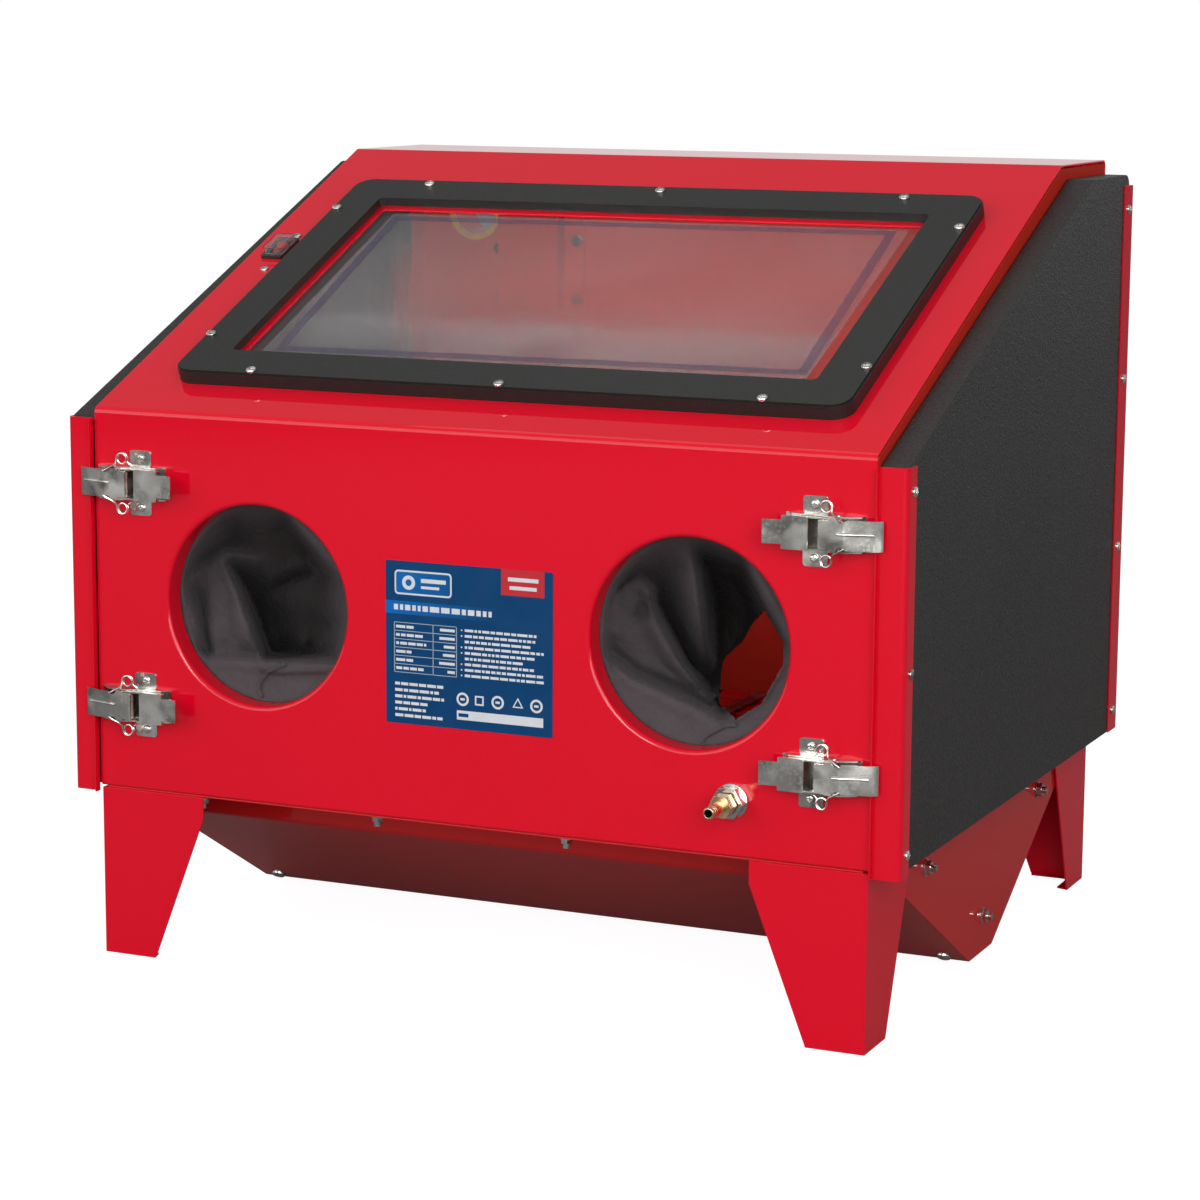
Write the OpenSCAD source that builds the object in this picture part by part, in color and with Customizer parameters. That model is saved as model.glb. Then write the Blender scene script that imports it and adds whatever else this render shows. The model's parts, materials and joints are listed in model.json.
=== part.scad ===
// Bench sandblast cabinet: folded steel cabinet on four angle legs, with a V hopper,
// two hinged side doors held by four toggle latches, a sloping window and two arm sleeves.
// X runs left to right, Y front to back, Z up. Origin: centre of the footprint, on the floor.

/* [Cabinet] */
// Width of the front panel
cab_w = 647; // [560:1:760]
// Depth of the cabinet, front panel to rear panel
cab_d = 565; // [520:1:640]
// Height of the top panel above the floor
cab_h = 625.5; // [600:0.5:700]
// Height of the cabinet floor above the ground
floor_z = 137; // [120:1:180]
// Height of the bend between front panel and window panel
bend_z = 438.5; // [420:0.5:460]
// Depth of the flat top panel
top_d = 130; // [100:1:150]
// Thickness of the steel sheet
sheet_t = 1.5; // [1:0.1:2]
// Outside radius of the folds
fold_r = 6; // [4:0.5:10]

/* [Window] */
// Width of the window frame
frame_w = 564; // [480:1:570]
// Length of the window frame along the slope
frame_l = 346; // [300:1:360]
// Width of the frame's border
frame_border = 36.5; // [30:0.5:45]
// Height of the frame above the panel
frame_h = 12; // [8:0.5:16]
// Sideways offset of the window
frame_x = 5; // [-8:1:8]
// Distance of the window's centre from the front bend, along the slope
frame_s = 218.5; // [200:0.5:235]
// Thickness of the glass
glass_t = 4; // [3:0.5:6]

/* [Arm holes] */
// Distance of each arm hole from the middle
arm_x = 180.5; // [165:0.5:200]
// Height of the arm holes
arm_z = 292; // [270:1:320]
// Clear radius of the arm holes
arm_r = 78.5; // [60:0.5:85]
// Depth of the turned-in neck
neck_d = 18; // [12:1:25]

/* [Doors] */
// Thickness of a side door
door_t = 21.3; // [16:0.1:24]
// Gap between door and cabinet side
door_gap = 1.5; // [1:0.1:3]
// Height of the door's top edge
door_top = 614; // [590:1:620]
// Height where the door's slope starts
door_knee = 431; // [400:1:440]

/* [Latches] */
// Distance of a latch's screws from the middle
latch_x = 278; // [270:1:285]
// Heights of the latch rows
latch_z = [206, 382];
// Height of the latch lever above the panel
lever_y = 13; // [11:0.5:15]

/* [Hopper and legs] */
// Half depth of the hopper mouth
hopper_mouth = 201; // [180:1:230]
// Half depth of the hopper's flat bottom
hopper_foot = 29; // [20:1:40]
// Height of the hopper's bottom
hopper_z = 4.5; // [3:0.5:20]
// Width of a leg flange at the top
leg_top_w = 92; // [70:1:110]
// Width of a leg flange at the bottom
leg_foot_w = 46; // [35:1:60]

/* [Ports] */
// Position of the air inlet across the front panel
inlet_x = 216.5; // [205:0.5:225]
// Height of the air inlet
inlet_z = 179; // [172:1:184]
// Outside radius of the exhaust spigot
spigot_r = 26; // [20:1:32]
// Length of the exhaust spigot and reach of the inlet barb
port_reach = 45; // [35:1:60]

/* [Hidden] */
$fn = 48;

red = [0.80, 0.02, 0.08];
dark_red = [0.55, 0.03, 0.06];
black = [0.09, 0.09, 0.09];
zinc = [0.72, 0.73, 0.72];

half_w = cab_w / 2;
front_y = -cab_d / 2;
rear_y = cab_d / 2;
slope_top_y = rear_y - top_d;
slope_a = atan2(cab_h - bend_z, slope_top_y - front_y);

// ---------- shared functions ----------
function unit(v) = v / norm(v);

// points of one polygon corner p, rounded with radius r
function corner(before, p, after, r, n) =
    r <= 0 ? [p] :
    let (
        a = unit(before - p),
        b = unit(after - p),
        half = acos(a * b) / 2,
        c = p + unit(a + b) * (r / sin(half)),
        start = p + a * (r / tan(half)) - c,
        a0 = atan2(start[1], start[0]),
        turn = (180 - 2 * half) * (cross(a, b) > 0 ? -1 : 1)
    ) [for (k = [0:n]) c + r * [cos(a0 + turn * k / n), sin(a0 + turn * k / n)]];

// polygon points with each corner i rounded by r[i]
function rounded(pts, r, n = 6) =
    [for (i = [0:len(pts) - 1])
        each corner(pts[(i + len(pts) - 1) % len(pts)], pts[i], pts[(i + 1) % len(pts)], r[i], n)];

function same(r, count) = [for (i = [1:count]) r];

// cabinet side outline in (Y, Z), moved inward by t
function body_outline(t) = [
    [front_y + t, floor_z + t],
    [rear_y - t, floor_z + t],
    [rear_y - t, cab_h - t],
    [slope_top_y + t * (1 - cos(slope_a)) / sin(slope_a), cab_h - t],
    [front_y + t, bend_z - t * (1 - sin(slope_a)) / cos(slope_a)]
];

function box_outline(x0, y0, x1, y1) = [[x0, y0], [x1, y0], [x1, y1], [x0, y1]];

// ---------- shared modules ----------
// (Y, Z) outline pulled along X
module along_x(x0, x1) {
    translate([x0, 0, 0])
        rotate([90, 0, 90])
            linear_extrude(x1 - x0)
                children();
}

// (X, Z) outline pulled along Y
module along_y(y0, y1) {
    translate([0, y1, 0])
        rotate([90, 0, 0])
            linear_extrude(y1 - y0)
                children();
}

// local X across, Y up the window panel, Z out of it
module on_slope() {
    translate([0, front_y, bend_z])
        rotate([slope_a, 0, 0])
            children();
}

module block(lo, hi) {
    translate(lo) cube(hi - lo);
}

module round_plate(lo, hi, r) {
    translate([0, 0, lo[2]])
        linear_extrude(hi[2] - lo[2])
            polygon(rounded(box_outline(lo[0], lo[1], hi[0], hi[1]), same(r, 4)));
}

// cylinder along +Y, starting at p
module rod_y(p, r, l) {
    translate(p) rotate([-90, 0, 0]) cylinder(h = l, r = r);
}

// cylinder along +X, starting at p
module rod_x(p, r, l) {
    translate(p) rotate([0, 90, 0]) cylinder(h = l, r = r);
}

// pan head with a cross recess, seat at the origin, pointing +Z
module pan_head(r = 4, h = 2.2) {
    difference() {
        rotate_extrude()
            polygon(concat([[0, 0], [r, 0], [r, h * 0.35]],
                [for (k = [1:5]) [r * cos(18 * k), h * (0.35 + 0.65 * sin(18 * k))]]));
        for (a = [0, 90])
            rotate([0, 0, a])
                translate([-r * 0.55, -0.45, h * 0.5])
                    cube([r * 1.1, 0.9, h]);
    }
}

// flanged hex bolt head, seat at the origin, pointing +Z
module hex_head(af = 10, h = 6) {
    cylinder(h = 1.4, r = af * 0.68);
    translate([0, 0, 1.4]) cylinder(h = h - 1.4, r = af / 2 / cos(30), $fn = 6);
}

// hex nut with the bolt's end standing out, seat at the origin, pointing +Z
module nut_with_end(af = 10, h = 5) {
    hex_head(af, h);
    translate([0, 0, h]) cylinder(h = 4, r = 2.9);
}

module mirrored() {
    children();
    mirror([1, 0, 0]) children();
}

// ---------- cabinet ----------
arm_lip = 4;

// section of the turned-in neck: (radius, depth behind the front face)
neck_section = concat(
    [for (k = [0:6]) [arm_r + arm_lip - arm_lip * sin(15 * k), arm_lip - arm_lip * cos(15 * k)]],
    [[arm_r, neck_d], [arm_r + sheet_t, neck_d]],
    [for (k = [6:-1:0]) [arm_r + arm_lip - (arm_lip - sheet_t) * sin(15 * k),
        arm_lip - (arm_lip - sheet_t) * cos(15 * k)]],
    [[arm_r + arm_lip + 2, sheet_t], [arm_r + arm_lip + 2, 0]]
);

cut_margin = 3;
floor_lip = 26;
rear_lip = 20;

module window_cut(margin, h0, h1, r) {
    on_slope()
        round_plate(
            [frame_x - frame_w / 2 + frame_border + margin, frame_s - frame_l / 2 + frame_border + margin, h0],
            [frame_x + frame_w / 2 - frame_border - margin, frame_s + frame_l / 2 - frame_border - margin, h1],
            r);
}

module cabinet_shell() {
    r = fold_r;
    color(red) {
        difference() {
            along_x(-half_w, half_w)
                difference() {
                    polygon(rounded(body_outline(0), [2.5, 2.5, r, r, r]));
                    polygon(rounded(body_outline(sheet_t), [1, 1, r - sheet_t, r - sheet_t, r - sheet_t]));
                    translate([front_y + floor_lip, floor_z - 1]) square([cab_d, sheet_t + 2]);
                    translate([rear_y - sheet_t - 1, floor_z - 1]) square([sheet_t + 2, cab_h - floor_z - rear_lip]);
                }
            for (s = [-1, 1])
                rod_y([s * arm_x, front_y - 1, arm_z], arm_r + arm_lip + 1, sheet_t + 2);
            window_cut(cut_margin, -sheet_t - 3, 3, 3);
            on_slope() block([switch_x - 6.5, switch_s - 11, -sheet_t - 3], [switch_x + 6.5, switch_s + 11, 3]);
            rod_y([inlet_x, front_y - 1, inlet_z], 8, sheet_t + 2);
        }
        for (s = [-1, 1])
            translate([s * arm_x, front_y, arm_z])
                rotate([-90, 0, 0])
                    rotate_extrude($fn = 96)
                        polygon(neck_section);
    }
}

spigot_x = -268;
spigot_z = 564;

module rear_panel() {
    y1 = rear_y - sheet_t;
    color(red)
        difference() {
            union() {
                block([-half_w, y1 - sheet_t, floor_z], [half_w, y1, cab_h - fold_r - 0.5]);
                block([-half_w, y1 - floor_lip, floor_z], [half_w, y1 - sheet_t, floor_z + sheet_t]);
            }
            rod_y([spigot_x, y1 - sheet_t - 1, spigot_z], spigot_r - 2, sheet_t + 2);
        }
}

side_lip = 26;

module side_frames() {
    color(dark_red)
        mirrored()
            along_x(half_w - sheet_t, half_w)
                difference() {
                    polygon(rounded(body_outline(2 * sheet_t), same(fold_r - 2 * sheet_t, 5)));
                    polygon(rounded(body_outline(side_lip), same(8, 5)));
                }
}

// ---------- hopper ----------
hopper_knee_z = 102;
hopper_x = 318.5;
flange_z = floor_z - sheet_t;
hopper_slope_a = atan2(hopper_knee_z - hopper_z, hopper_mouth - hopper_foot);

function hopper_outline(t) = [
    [-hopper_foot - t * tan(hopper_slope_a / 2), hopper_z - t],
    [hopper_foot + t * tan(hopper_slope_a / 2), hopper_z - t],
    [hopper_mouth + t, hopper_knee_z - t * tan(45 - hopper_slope_a / 2)],
    [hopper_mouth + t, flange_z],
    [-hopper_mouth - t, flange_z],
    [-hopper_mouth - t, hopper_knee_z - t * tan(45 - hopper_slope_a / 2)]
];

module hopper_trough() {
    color(dark_red) {
        along_x(-hopper_x, hopper_x)
            difference() {
                polygon(rounded(hopper_outline(0), [4, 4, 6, 0, 0, 6]));
                polygon(rounded(concat(
                    [for (k = [0:2]) hopper_outline(-sheet_t)[k]],
                    [[hopper_mouth - sheet_t, flange_z + 1], [-hopper_mouth + sheet_t, flange_z + 1]],
                    [hopper_outline(-sheet_t)[5]]
                ), [2.5, 2.5, 4.5, 0, 0, 4.5]));
            }
        for (s = [-1, 1])
            block([-hopper_x, s > 0 ? hopper_mouth - sheet_t : front_y + 1.5, flange_z],
                [hopper_x, s > 0 ? rear_y - 1.5 : -hopper_mouth + sheet_t, floor_z]);
    }
}

module hopper_ends() {
    color(dark_red)
        mirrored()
            along_x(hopper_x, hopper_x + sheet_t)
                polygon(rounded(hopper_outline(0), [4, 4, 6, 0, 0, 6]));
}

module hopper_bolts() {
    color(zinc) {
        mirrored() {
            for (p = [[0, 35.5], [144.5, 108.5], [-144.5, 108.5]])
                translate([hopper_x + sheet_t, p[0], p[1]]) rotate([0, 90, 0]) nut_with_end(10, 5);
            for (s = [-1, 1])
                translate([302, s * (hopper_foot + 10), hopper_z + 10 * tan(hopper_slope_a)])
                    rotate([-s * (180 - hopper_slope_a), 0, 0]) pan_head(6, 3.6);
        }
    }
}

module flange_bolts() {
    color(zinc)
        for (s = [-1, 1], x = [-235, -80, 80, 235])
            translate([x, s * (rear_y - 9), abs(x) > 200 ? flange_z - sheet_t : flange_z])
                rotate([180, 0, 0]) nut_with_end(8, 4.5);
}

// ---------- legs ----------
leg_out = 1;
leg_top_z = flange_z;
leg_knee = 17;
foot_lip = 10;
leg_seat = cab_d / 2 - hopper_mouth - 1.5;

function leg_outline(sign) =
    [for (p = [[0, 0], [leg_foot_w, 0], [leg_top_w, leg_top_z - leg_knee], [leg_top_w, leg_top_z], [0, leg_top_z]])
        [sign * p[0], p[1]]];

// leg for the front right corner: outer faces at x = 0 and y = 0, reaching -X and +Y
module leg() {
    t = sheet_t;
    along_y(0, t) polygon(leg_outline(-1));
    along_x(-t, 0) polygon(leg_outline(1));
    block([-leg_top_w, 0, leg_top_z - t], [0, leg_top_w * 0.3, leg_top_z]);
    block([-leg_top_w * 0.3, 0, leg_top_z - t], [0, leg_seat, leg_top_z]);
    linear_extrude(t)
        polygon([[0, 0], [0, leg_foot_w], [-foot_lip, leg_foot_w - foot_lip * 0.3], [-foot_lip, foot_lip],
            [-leg_foot_w + foot_lip * 0.3, foot_lip], [-leg_foot_w, 0]]);
}

module leg_at(side, end) {
    color(red)
        mirror([side < 0 ? 1 : 0, 0, 0])
            mirror([0, end > 0 ? 1 : 0, 0])
                translate([half_w - leg_out, front_y + 0.3, 0])
                    leg();
}

module leg_front_left() { leg_at(-1, -1); }
module leg_front_right() { leg_at(1, -1); }
module leg_rear_left() { leg_at(-1, 1); }
module leg_rear_right() { leg_at(1, 1); }

// ---------- window ----------
screw_in = 5;
frame_lo = [frame_x - frame_w / 2, frame_s - frame_l / 2];
frame_hi = [frame_x + frame_w / 2, frame_s + frame_l / 2];
frame_draft = 1.5;

frame_screws = concat(
    [for (x = [-211, 2.5, 215], s = [frame_lo[1] + screw_in, frame_hi[1] - 9.5]) [frame_x + x, s]],
    [for (x = [frame_lo[0] + 6, frame_hi[0] - 5.5], s = [104.7, 333]) [x, s]]
);

seat_gap = 0.02;

module window_frame() {
    top = frame_h - frame_draft;
    color(black)
        on_slope()
            difference() {
                union() {
                    round_plate([frame_lo[0], frame_lo[1], seat_gap], [frame_hi[0], frame_hi[1], top], 16);
                    round_plate([frame_lo[0] + frame_draft, frame_lo[1] + frame_draft, top],
                        [frame_hi[0] - frame_draft, frame_hi[1] - frame_draft, frame_h], 14.5);
                }
                round_plate([frame_lo[0] + frame_border, frame_lo[1] + frame_border, -1],
                    [frame_hi[0] - frame_border, frame_hi[1] - frame_border, frame_h + 1], 5);
                round_plate([frame_lo[0] + frame_border - 9.5, frame_lo[1] + frame_border - 9.5, -1],
                    [frame_hi[0] - frame_border + 9.5, frame_hi[1] - frame_border + 9.5, gasket_t + glass_t + 0.05],
                    6);
                for (p = frame_screws)
                    translate([p[0], p[1], -1]) cylinder(h = frame_h + 2, r = 2.3);
            }
}

// the glass lies on a thin gasket on the panel, in a rebate under the frame
gasket_t = 1.2;
glass_top = gasket_t + glass_t;

module window_gasket() {
    color("dimgray")
        difference() {
            window_cut(-9, seat_gap, gasket_t, 6);
            window_cut(-4, -1, gasket_t + 1, 3);
        }
}

module window_glass() {
    color([0.6, 0.65, 0.7, 0.4])
        window_cut(-9, gasket_t, glass_top, 4);
}

film_t = 0.3;

module window_film() {
    color([0.6, 0.55, 0.7, 0.5])
        on_slope()
            round_plate([-221, 94, glass_top], [237.5, 338.5, glass_top + film_t], 2);
}

switch_x = -299.5;
switch_s = 276;
switch_screws = [[-296, 301], [-296, 240]];

module panel_screws() {
    color(zinc)
        on_slope() {
            for (p = frame_screws)
                translate([p[0], p[1], frame_h]) {
                    pan_head(4.2, 3);
                    translate([0, 0, 1 - frame_h]) cylinder(h = frame_h - 1, r = 2);
                }
            for (p = switch_screws)
                translate([p[0], p[1], 0]) pan_head(3.6, 2.2);
        }
}

module switch_bezel() {
    color(black)
        on_slope()
            difference() {
                union() {
                    round_plate([switch_x - 10, switch_s - 17.5, seat_gap], [switch_x + 10, switch_s + 17.5, 3], 2);
                    round_plate([switch_x - 6.2, switch_s - 10.7, -14], [switch_x + 6.2, switch_s + 10.7, 0.1], 1);
                }
                block([switch_x - 5, switch_s - 9.5, -8], [switch_x + 5, switch_s + 9.5, 4]);
                rod_x([switch_x - 6, switch_s, -2.5], 1.05, 12);
            }
}

module switch_rocker() {
    color([0.75, 0.05, 0.05])
        on_slope() {
            translate([switch_x - 4.6, switch_s, -2.5])
                rotate([90, 0, 90])
                    linear_extrude(9.2)
                        polygon([[-7.6, 4.2], [0, 3.6], [7.4, 6.6], [7.2, 1.6], [3, -3.5], [-3, -3.5], [-7.4, 0]]);
            rod_x([switch_x - 5.8, switch_s, -2.5], 1, 11.6);
        }
}

// clear flexible boot clipped over the bezel
module switch_cover() {
    color([0.85, 0.85, 0.85, 0.35])
        on_slope()
            difference() {
                round_plate([switch_x - 9, switch_s - 14, 3], [switch_x + 9, switch_s + 14, 8.4], 3);
                round_plate([switch_x - 8, switch_s - 13, 2], [switch_x + 8, switch_s + 13, 7.6], 2);
            }
}

module label_plate() {
    color("navy")
        block([-67, front_y - 0.4, 212], [72.5, front_y, 337]);
}

// ---------- sleeves ----------
sleeve_len = 150;
sleeve_end_r = 68;
sleeve_t = 2;

module sleeve(side) {
    r0 = arm_r + sheet_t + 0.3;
    color([0.15, 0.15, 0.16])
        translate([side * arm_x, front_y, arm_z])
            rotate([-90, 0, 0])
                rotate_extrude($fn = 64)
                    polygon([[r0, 7], [r0 + sleeve_t, 7], [r0 + sleeve_t, neck_d + 2],
                        [sleeve_end_r + sleeve_t, neck_d + sleeve_len], [sleeve_end_r, neck_d + sleeve_len],
                        [r0, neck_d + 1]]);
}

module sleeve_left() { sleeve(-1); }
module sleeve_right() { sleeve(1); }

module sleeve_clamps() {
    r0 = arm_r + sheet_t + sleeve_t + 0.5;
    color(zinc)
        for (side = [-1, 1])
            translate([side * arm_x, front_y, arm_z])
                rotate([-90, 0, 0])
                    difference() {
                        rotate_extrude($fn = 64)
                            translate([r0, 8]) square([1, 9]);
                        block([-3, -r0 - 3, 7], [3, -r0 + 3, 18]);
                    }
}

// ---------- air inlet and blast gun ----------
barb_r = 4.6;

module inlet_nut() {
    color(zinc)
        translate([inlet_x, front_y, inlet_z])
            rotate([90, 0, 0])
                difference() {
                    union() {
                        cylinder(h = 1.6, r = 13);
                        translate([0, 0, 1.6]) cylinder(h = 9, r = 12.7, $fn = 6);
                    }
                    translate([0, 0, -1]) cylinder(h = 13, r = 7.6);
                }
}

// threaded body through the panel, hex and a plain tail with two grooves
module inlet_barb() {
    hex_at = 12.5;
    neck_at = 23;
    color([0.75, 0.58, 0.28])
        translate([inlet_x, front_y, inlet_z])
            rotate([90, 0, 0])
                difference() {
                    union() {
                        translate([0, 0, -22]) cylinder(h = 22 + hex_at, r = 7.4);
                        translate([0, 0, hex_at]) cylinder(h = neck_at - hex_at, r = 9.2, $fn = 6);
                        translate([0, 0, neck_at]) cylinder(h = port_reach - 1 - neck_at, r = barb_r);
                        translate([0, 0, port_reach - 1]) cylinder(h = 1, r1 = barb_r, r2 = barb_r - 0.8);
                    }
                    translate([0, 0, -23]) cylinder(h = port_reach + 24, r = 3);
                    for (k = [0:1])
                        translate([0, 0, port_reach - 4 - 3 * k])
                            difference() {
                                cylinder(h = 0.8, r = barb_r + 1);
                                translate([0, 0, -1]) cylinder(h = 3, r = barb_r - 0.4);
                            }
                }
}

grate_z = floor_z + sheet_t;
gun_z = grate_z + 2 + 14.3;
gun_y = -18;
grip_end_y = -100;

// hose centre lines: gentle S to the grip, and a quarter turn then a drop to the pickup tube
air_route = [[216.5, -260.5, 179], [216.5, -245, 179], [216.5, -225, 177], [216.5, -205, 173], [216.5, -185, 167.5],
    [216.5, -165, 162], [216.5, -145, 158], [216.5, -125, 155.6], [216.5, -110, 154.8], [216.5, -100, 154.8]];
feed_r = 50;
feed_x = 240;
drop_r = 48;
drop_x = feed_x + 1 + feed_r;
pickup_y = gun_y + feed_r + drop_r;
pickup_top = gun_z - drop_r - 1.1;
media_route = concat(
    [[feed_x + 0.1, gun_y, gun_z]],
    [for (k = [0:8]) [drop_x - feed_r + feed_r * sin(11.25 * k), gun_y + feed_r * (1 - cos(11.25 * k)), gun_z]],
    [for (k = [1:8]) [drop_x, gun_y + feed_r + drop_r * sin(11.25 * k), gun_z - drop_r * (1 - cos(11.25 * k))]],
    [[drop_x, pickup_y, pickup_top + 0.1]]
);

// tube swept along a route, closed at both ends
module hose(route, r, sides = 10, ref = [-1, 1, 1]) {
    n = len(route);
    function along(i) = unit(route[min(i + 1, n - 1)] - route[max(i - 1, 0)]);
    function ring(i) =
        let (u = unit(cross(along(i), ref)), v = cross(along(i), u))
        [for (k = [0:sides - 1]) route[i] + r * (cos(360 * k / sides) * u + sin(360 * k / sides) * v)];
    points = [for (i = [0:n - 1]) each ring(i)];
    faces = concat(
        [[for (k = [0:sides - 1]) k]],
        [for (i = [0:n - 2], k = [0:sides - 1])
            [i * sides + k, (i + 1) * sides + k, (i + 1) * sides + (k + 1) % sides, i * sides + (k + 1) % sides]],
        [[for (k = [sides - 1:-1:0]) (n - 1) * sides + k]]
    );
    polyhedron(points, faces);
}

module air_hose() {
    color([0.1, 0.1, 0.12]) hose(air_route, 5);
}

module media_hose() {
    color([0.75, 0.75, 0.6]) hose(media_route, 6);
}

trigger_pivot = [190, gun_y - 19];

module pickup_tube() {
    color(zinc)
        translate([drop_x, pickup_y, 45])
            difference() {
                cylinder(h = pickup_top - 45, r = 8);
                translate([0, 0, -1]) cylinder(h = pickup_top - 47, r = 6.4);
            }
}

module gun_body() {
    color([0.45, 0.46, 0.48]) {
        rod_x([160, gun_y, gun_z], 14, feed_x - 160);
        rod_x([150, gun_y, gun_z], 10, 10);
        rod_y([inlet_x, grip_end_y, gun_z], 11, gun_y - grip_end_y - 10);
        block([trigger_pivot[0] + 7, trigger_pivot[1] - 5, gun_z - 5.8], [208, gun_y - 12, gun_z + 5.8]);
        for (s = [-1, 1])
            translate([0, 0, gun_z + s * 4.8])
                linear_extrude(2, center = true)
                    polygon(box_outline(trigger_pivot[0] - 4, trigger_pivot[1] - 4, trigger_pivot[0] + 9, trigger_pivot[1] + 6));
        translate([trigger_pivot[0], trigger_pivot[1], gun_z - 5]) cylinder(h = 10, r = 1.5);
    }
}

module gun_nozzle() {
    color("ivory")
        difference() {
            rod_x([122, gun_y, gun_z], 8, 28);
            rod_x([121, gun_y, gun_z], 3.5, 20);
        }
}

module gun_trigger() {
    color("dimgray")
        translate([trigger_pivot[0], trigger_pivot[1], gun_z])
            difference() {
                union() {
                    translate([0, 0, -3.5]) cylinder(h = 7, r = 4);
                    linear_extrude(7, center = true)
                        polygon(rounded([[-4, -1], [-8, -50], [-4, -51], [0, -30], [3.5, 0]], [0, 1, 1, 4, 0], 3));
                }
                translate([0, 0, -4]) cylinder(h = 8, r = 1.55);
            }
}

// ---------- inside fittings ----------
grate_bar_x = concat([for (k = [0:5]) 22 + 44 * k], [314]);

// flat bars from the front lip to the rear lip, clear of the pickup tube
module work_grate() {
    reach = rear_y - 6;
    color([0.35, 0.36, 0.38])
        mirrored()
            for (x = grate_bar_x)
                block([x - 6, -reach, grate_z], [x + 6, reach, grate_z + 2]);
}

lamp_y = 175;

module lamp_housing() {
    z1 = cab_h - sheet_t;
    color("white")
        along_x(-150, 150)
            polygon([[lamp_y - 16, z1], [lamp_y - 12, z1 - 14], [lamp_y - 10, z1 - 14], [lamp_y - 10, z1 - 4],
                [lamp_y + 10, z1 - 4], [lamp_y + 10, z1 - 14], [lamp_y + 12, z1 - 14], [lamp_y + 16, z1]]);
}

module lamp_tube() {
    color("ivory") rod_x([-140, lamp_y, cab_h - sheet_t - 13], 6, 280);
}

module exhaust_spigot() {
    y0 = rear_y - sheet_t;
    color(dark_red)
        translate([spigot_x, y0, spigot_z])
            rotate([-90, 0, 0])
                difference() {
                    union() {
                        cylinder(h = sheet_t, r = 36);
                        cylinder(h = port_reach + sheet_t, r = spigot_r);
                    }
                    translate([0, 0, -1]) cylinder(h = port_reach + sheet_t + 2, r = spigot_r - 2);
                }
}

module exhaust_gasket() {
    color([0.85, 0.65, 0.1])
        rod_ring([spigot_x, rear_y - 2 * sheet_t - 3, spigot_z], spigot_r, spigot_r - 5, 3);
}

module rod_ring(p, r_out, r_in, l) {
    translate(p)
        rotate([-90, 0, 0])
            difference() {
                cylinder(h = l, r = r_out);
                translate([0, 0, -1]) cylinder(h = l + 2, r = r_in);
            }
}

baffle_lo = [-238, 476];
baffle_hi = [-178, 590];
baffle_d = 16;

module baffle_box() {
    y1 = rear_y - 2 * sheet_t;
    color(red)
        difference() {
            union() {
                block([baffle_lo[0], y1 - baffle_d, baffle_lo[1]], [baffle_hi[0], y1, baffle_hi[1]]);
                block([baffle_hi[0] - 1, y1 - sheet_t, baffle_lo[1]], [baffle_hi[0] + 20, y1, baffle_hi[1]]);
            }
            block([baffle_lo[0] + sheet_t, y1 - baffle_d + sheet_t, baffle_lo[1] - 1],
                [baffle_hi[0] - sheet_t, y1 + 1, baffle_hi[1] - sheet_t]);
        }
}

module baffle_bolts() {
    y1 = rear_y - 2 * sheet_t;
    color(zinc) {
        for (z = [487, 540])
            translate([-165, y1 - sheet_t, z]) rotate([90, 0, 0]) hex_head(8, 5);
        for (p = [[-244, 487], [-244, 530], [-315.5, 448]])
            translate([p[0], y1, p[1]]) rotate([90, 0, 0]) hex_head(8, 5);
    }
}

// ---------- doors ----------
door_in = half_w + door_gap;
door_out = door_in + door_t;
door_front = front_y + 4.2;
door_rear = rear_y - 6;
door_slope_y = slope_top_y + 12;
strip_t = 1.2;
strip_lo = floor_z - 4.5;
strip_side_w = 17;
rear_strip_top = cab_h - 20.5;
pin_x = half_w + 2.5;
pin_y = rear_y + 4.5;
pin_r = 1.8;
knuckle_r = 3.8;
knuckle_l = 38;
knuckle_count = 12;
knuckle_z = floor_z + 3;

function door_outline(t) = [
    [door_front + t, floor_z + t],
    [door_rear - t, floor_z + t],
    [door_rear - t, door_top - t],
    [door_slope_y + t * 0.2, door_top - t],
    [door_front + t, door_knee - t * 0.67]
];

door_radii = [3, 3, 10, 8, 5];

// right-hand door pan, open towards the cabinet
module door_pan() {
    difference() {
        along_x(door_in, door_out)
            polygon(rounded(door_outline(0), door_radii));
        along_x(door_in - 1, door_out - sheet_t)
            polygon(rounded(door_outline(sheet_t), [2, 2, 8, 6, 4]));
    }
    along_x(door_in, door_in + sheet_t)
        difference() {
            polygon(rounded(door_outline(0.5), [3, 3, 10, 8, 5]));
            polygon(rounded(door_outline(side_lip - 4), same(6, 5)));
        }
}

module door_skin_right() { color(black) door_pan(); }
module door_skin_left() { color(black) mirror([1, 0, 0]) door_pan(); }

// soft seal on the door's inner lip
module door_seal() {
    along_x(half_w + 0.3, door_in)
        difference() {
            polygon(rounded(door_outline(8), [3, 3, 6, 6, 4]));
            polygon(rounded(door_outline(20), same(4, 5)));
        }
}

module door_seal_right() { color("dimgray") door_seal(); }
module door_seal_left() { color("dimgray") mirror([1, 0, 0]) door_seal(); }

// strip round the door's front edge: raised inner lip, front flange, round bend, side flange
strip_out = door_out + strip_t;
lip_h = 6;
module front_strip() {
    lip_x = half_w + 1.2;
    translate([0, 0, strip_lo])
        linear_extrude(door_knee - strip_lo)
            polygon(rounded([
                [lip_x, front_y - strip_t],
                [lip_x, front_y - lip_h],
                [lip_x + strip_t, front_y - lip_h],
                [lip_x + strip_t, front_y - strip_t],
                [strip_out, front_y - strip_t],
                [strip_out, front_y + strip_side_w],
                [door_out, front_y + strip_side_w],
                [door_out, front_y],
                [lip_x, front_y]
            ], [0, 0.5, 0.5, 0, 5, 0, 0, 3.8, 0]));
}

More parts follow.
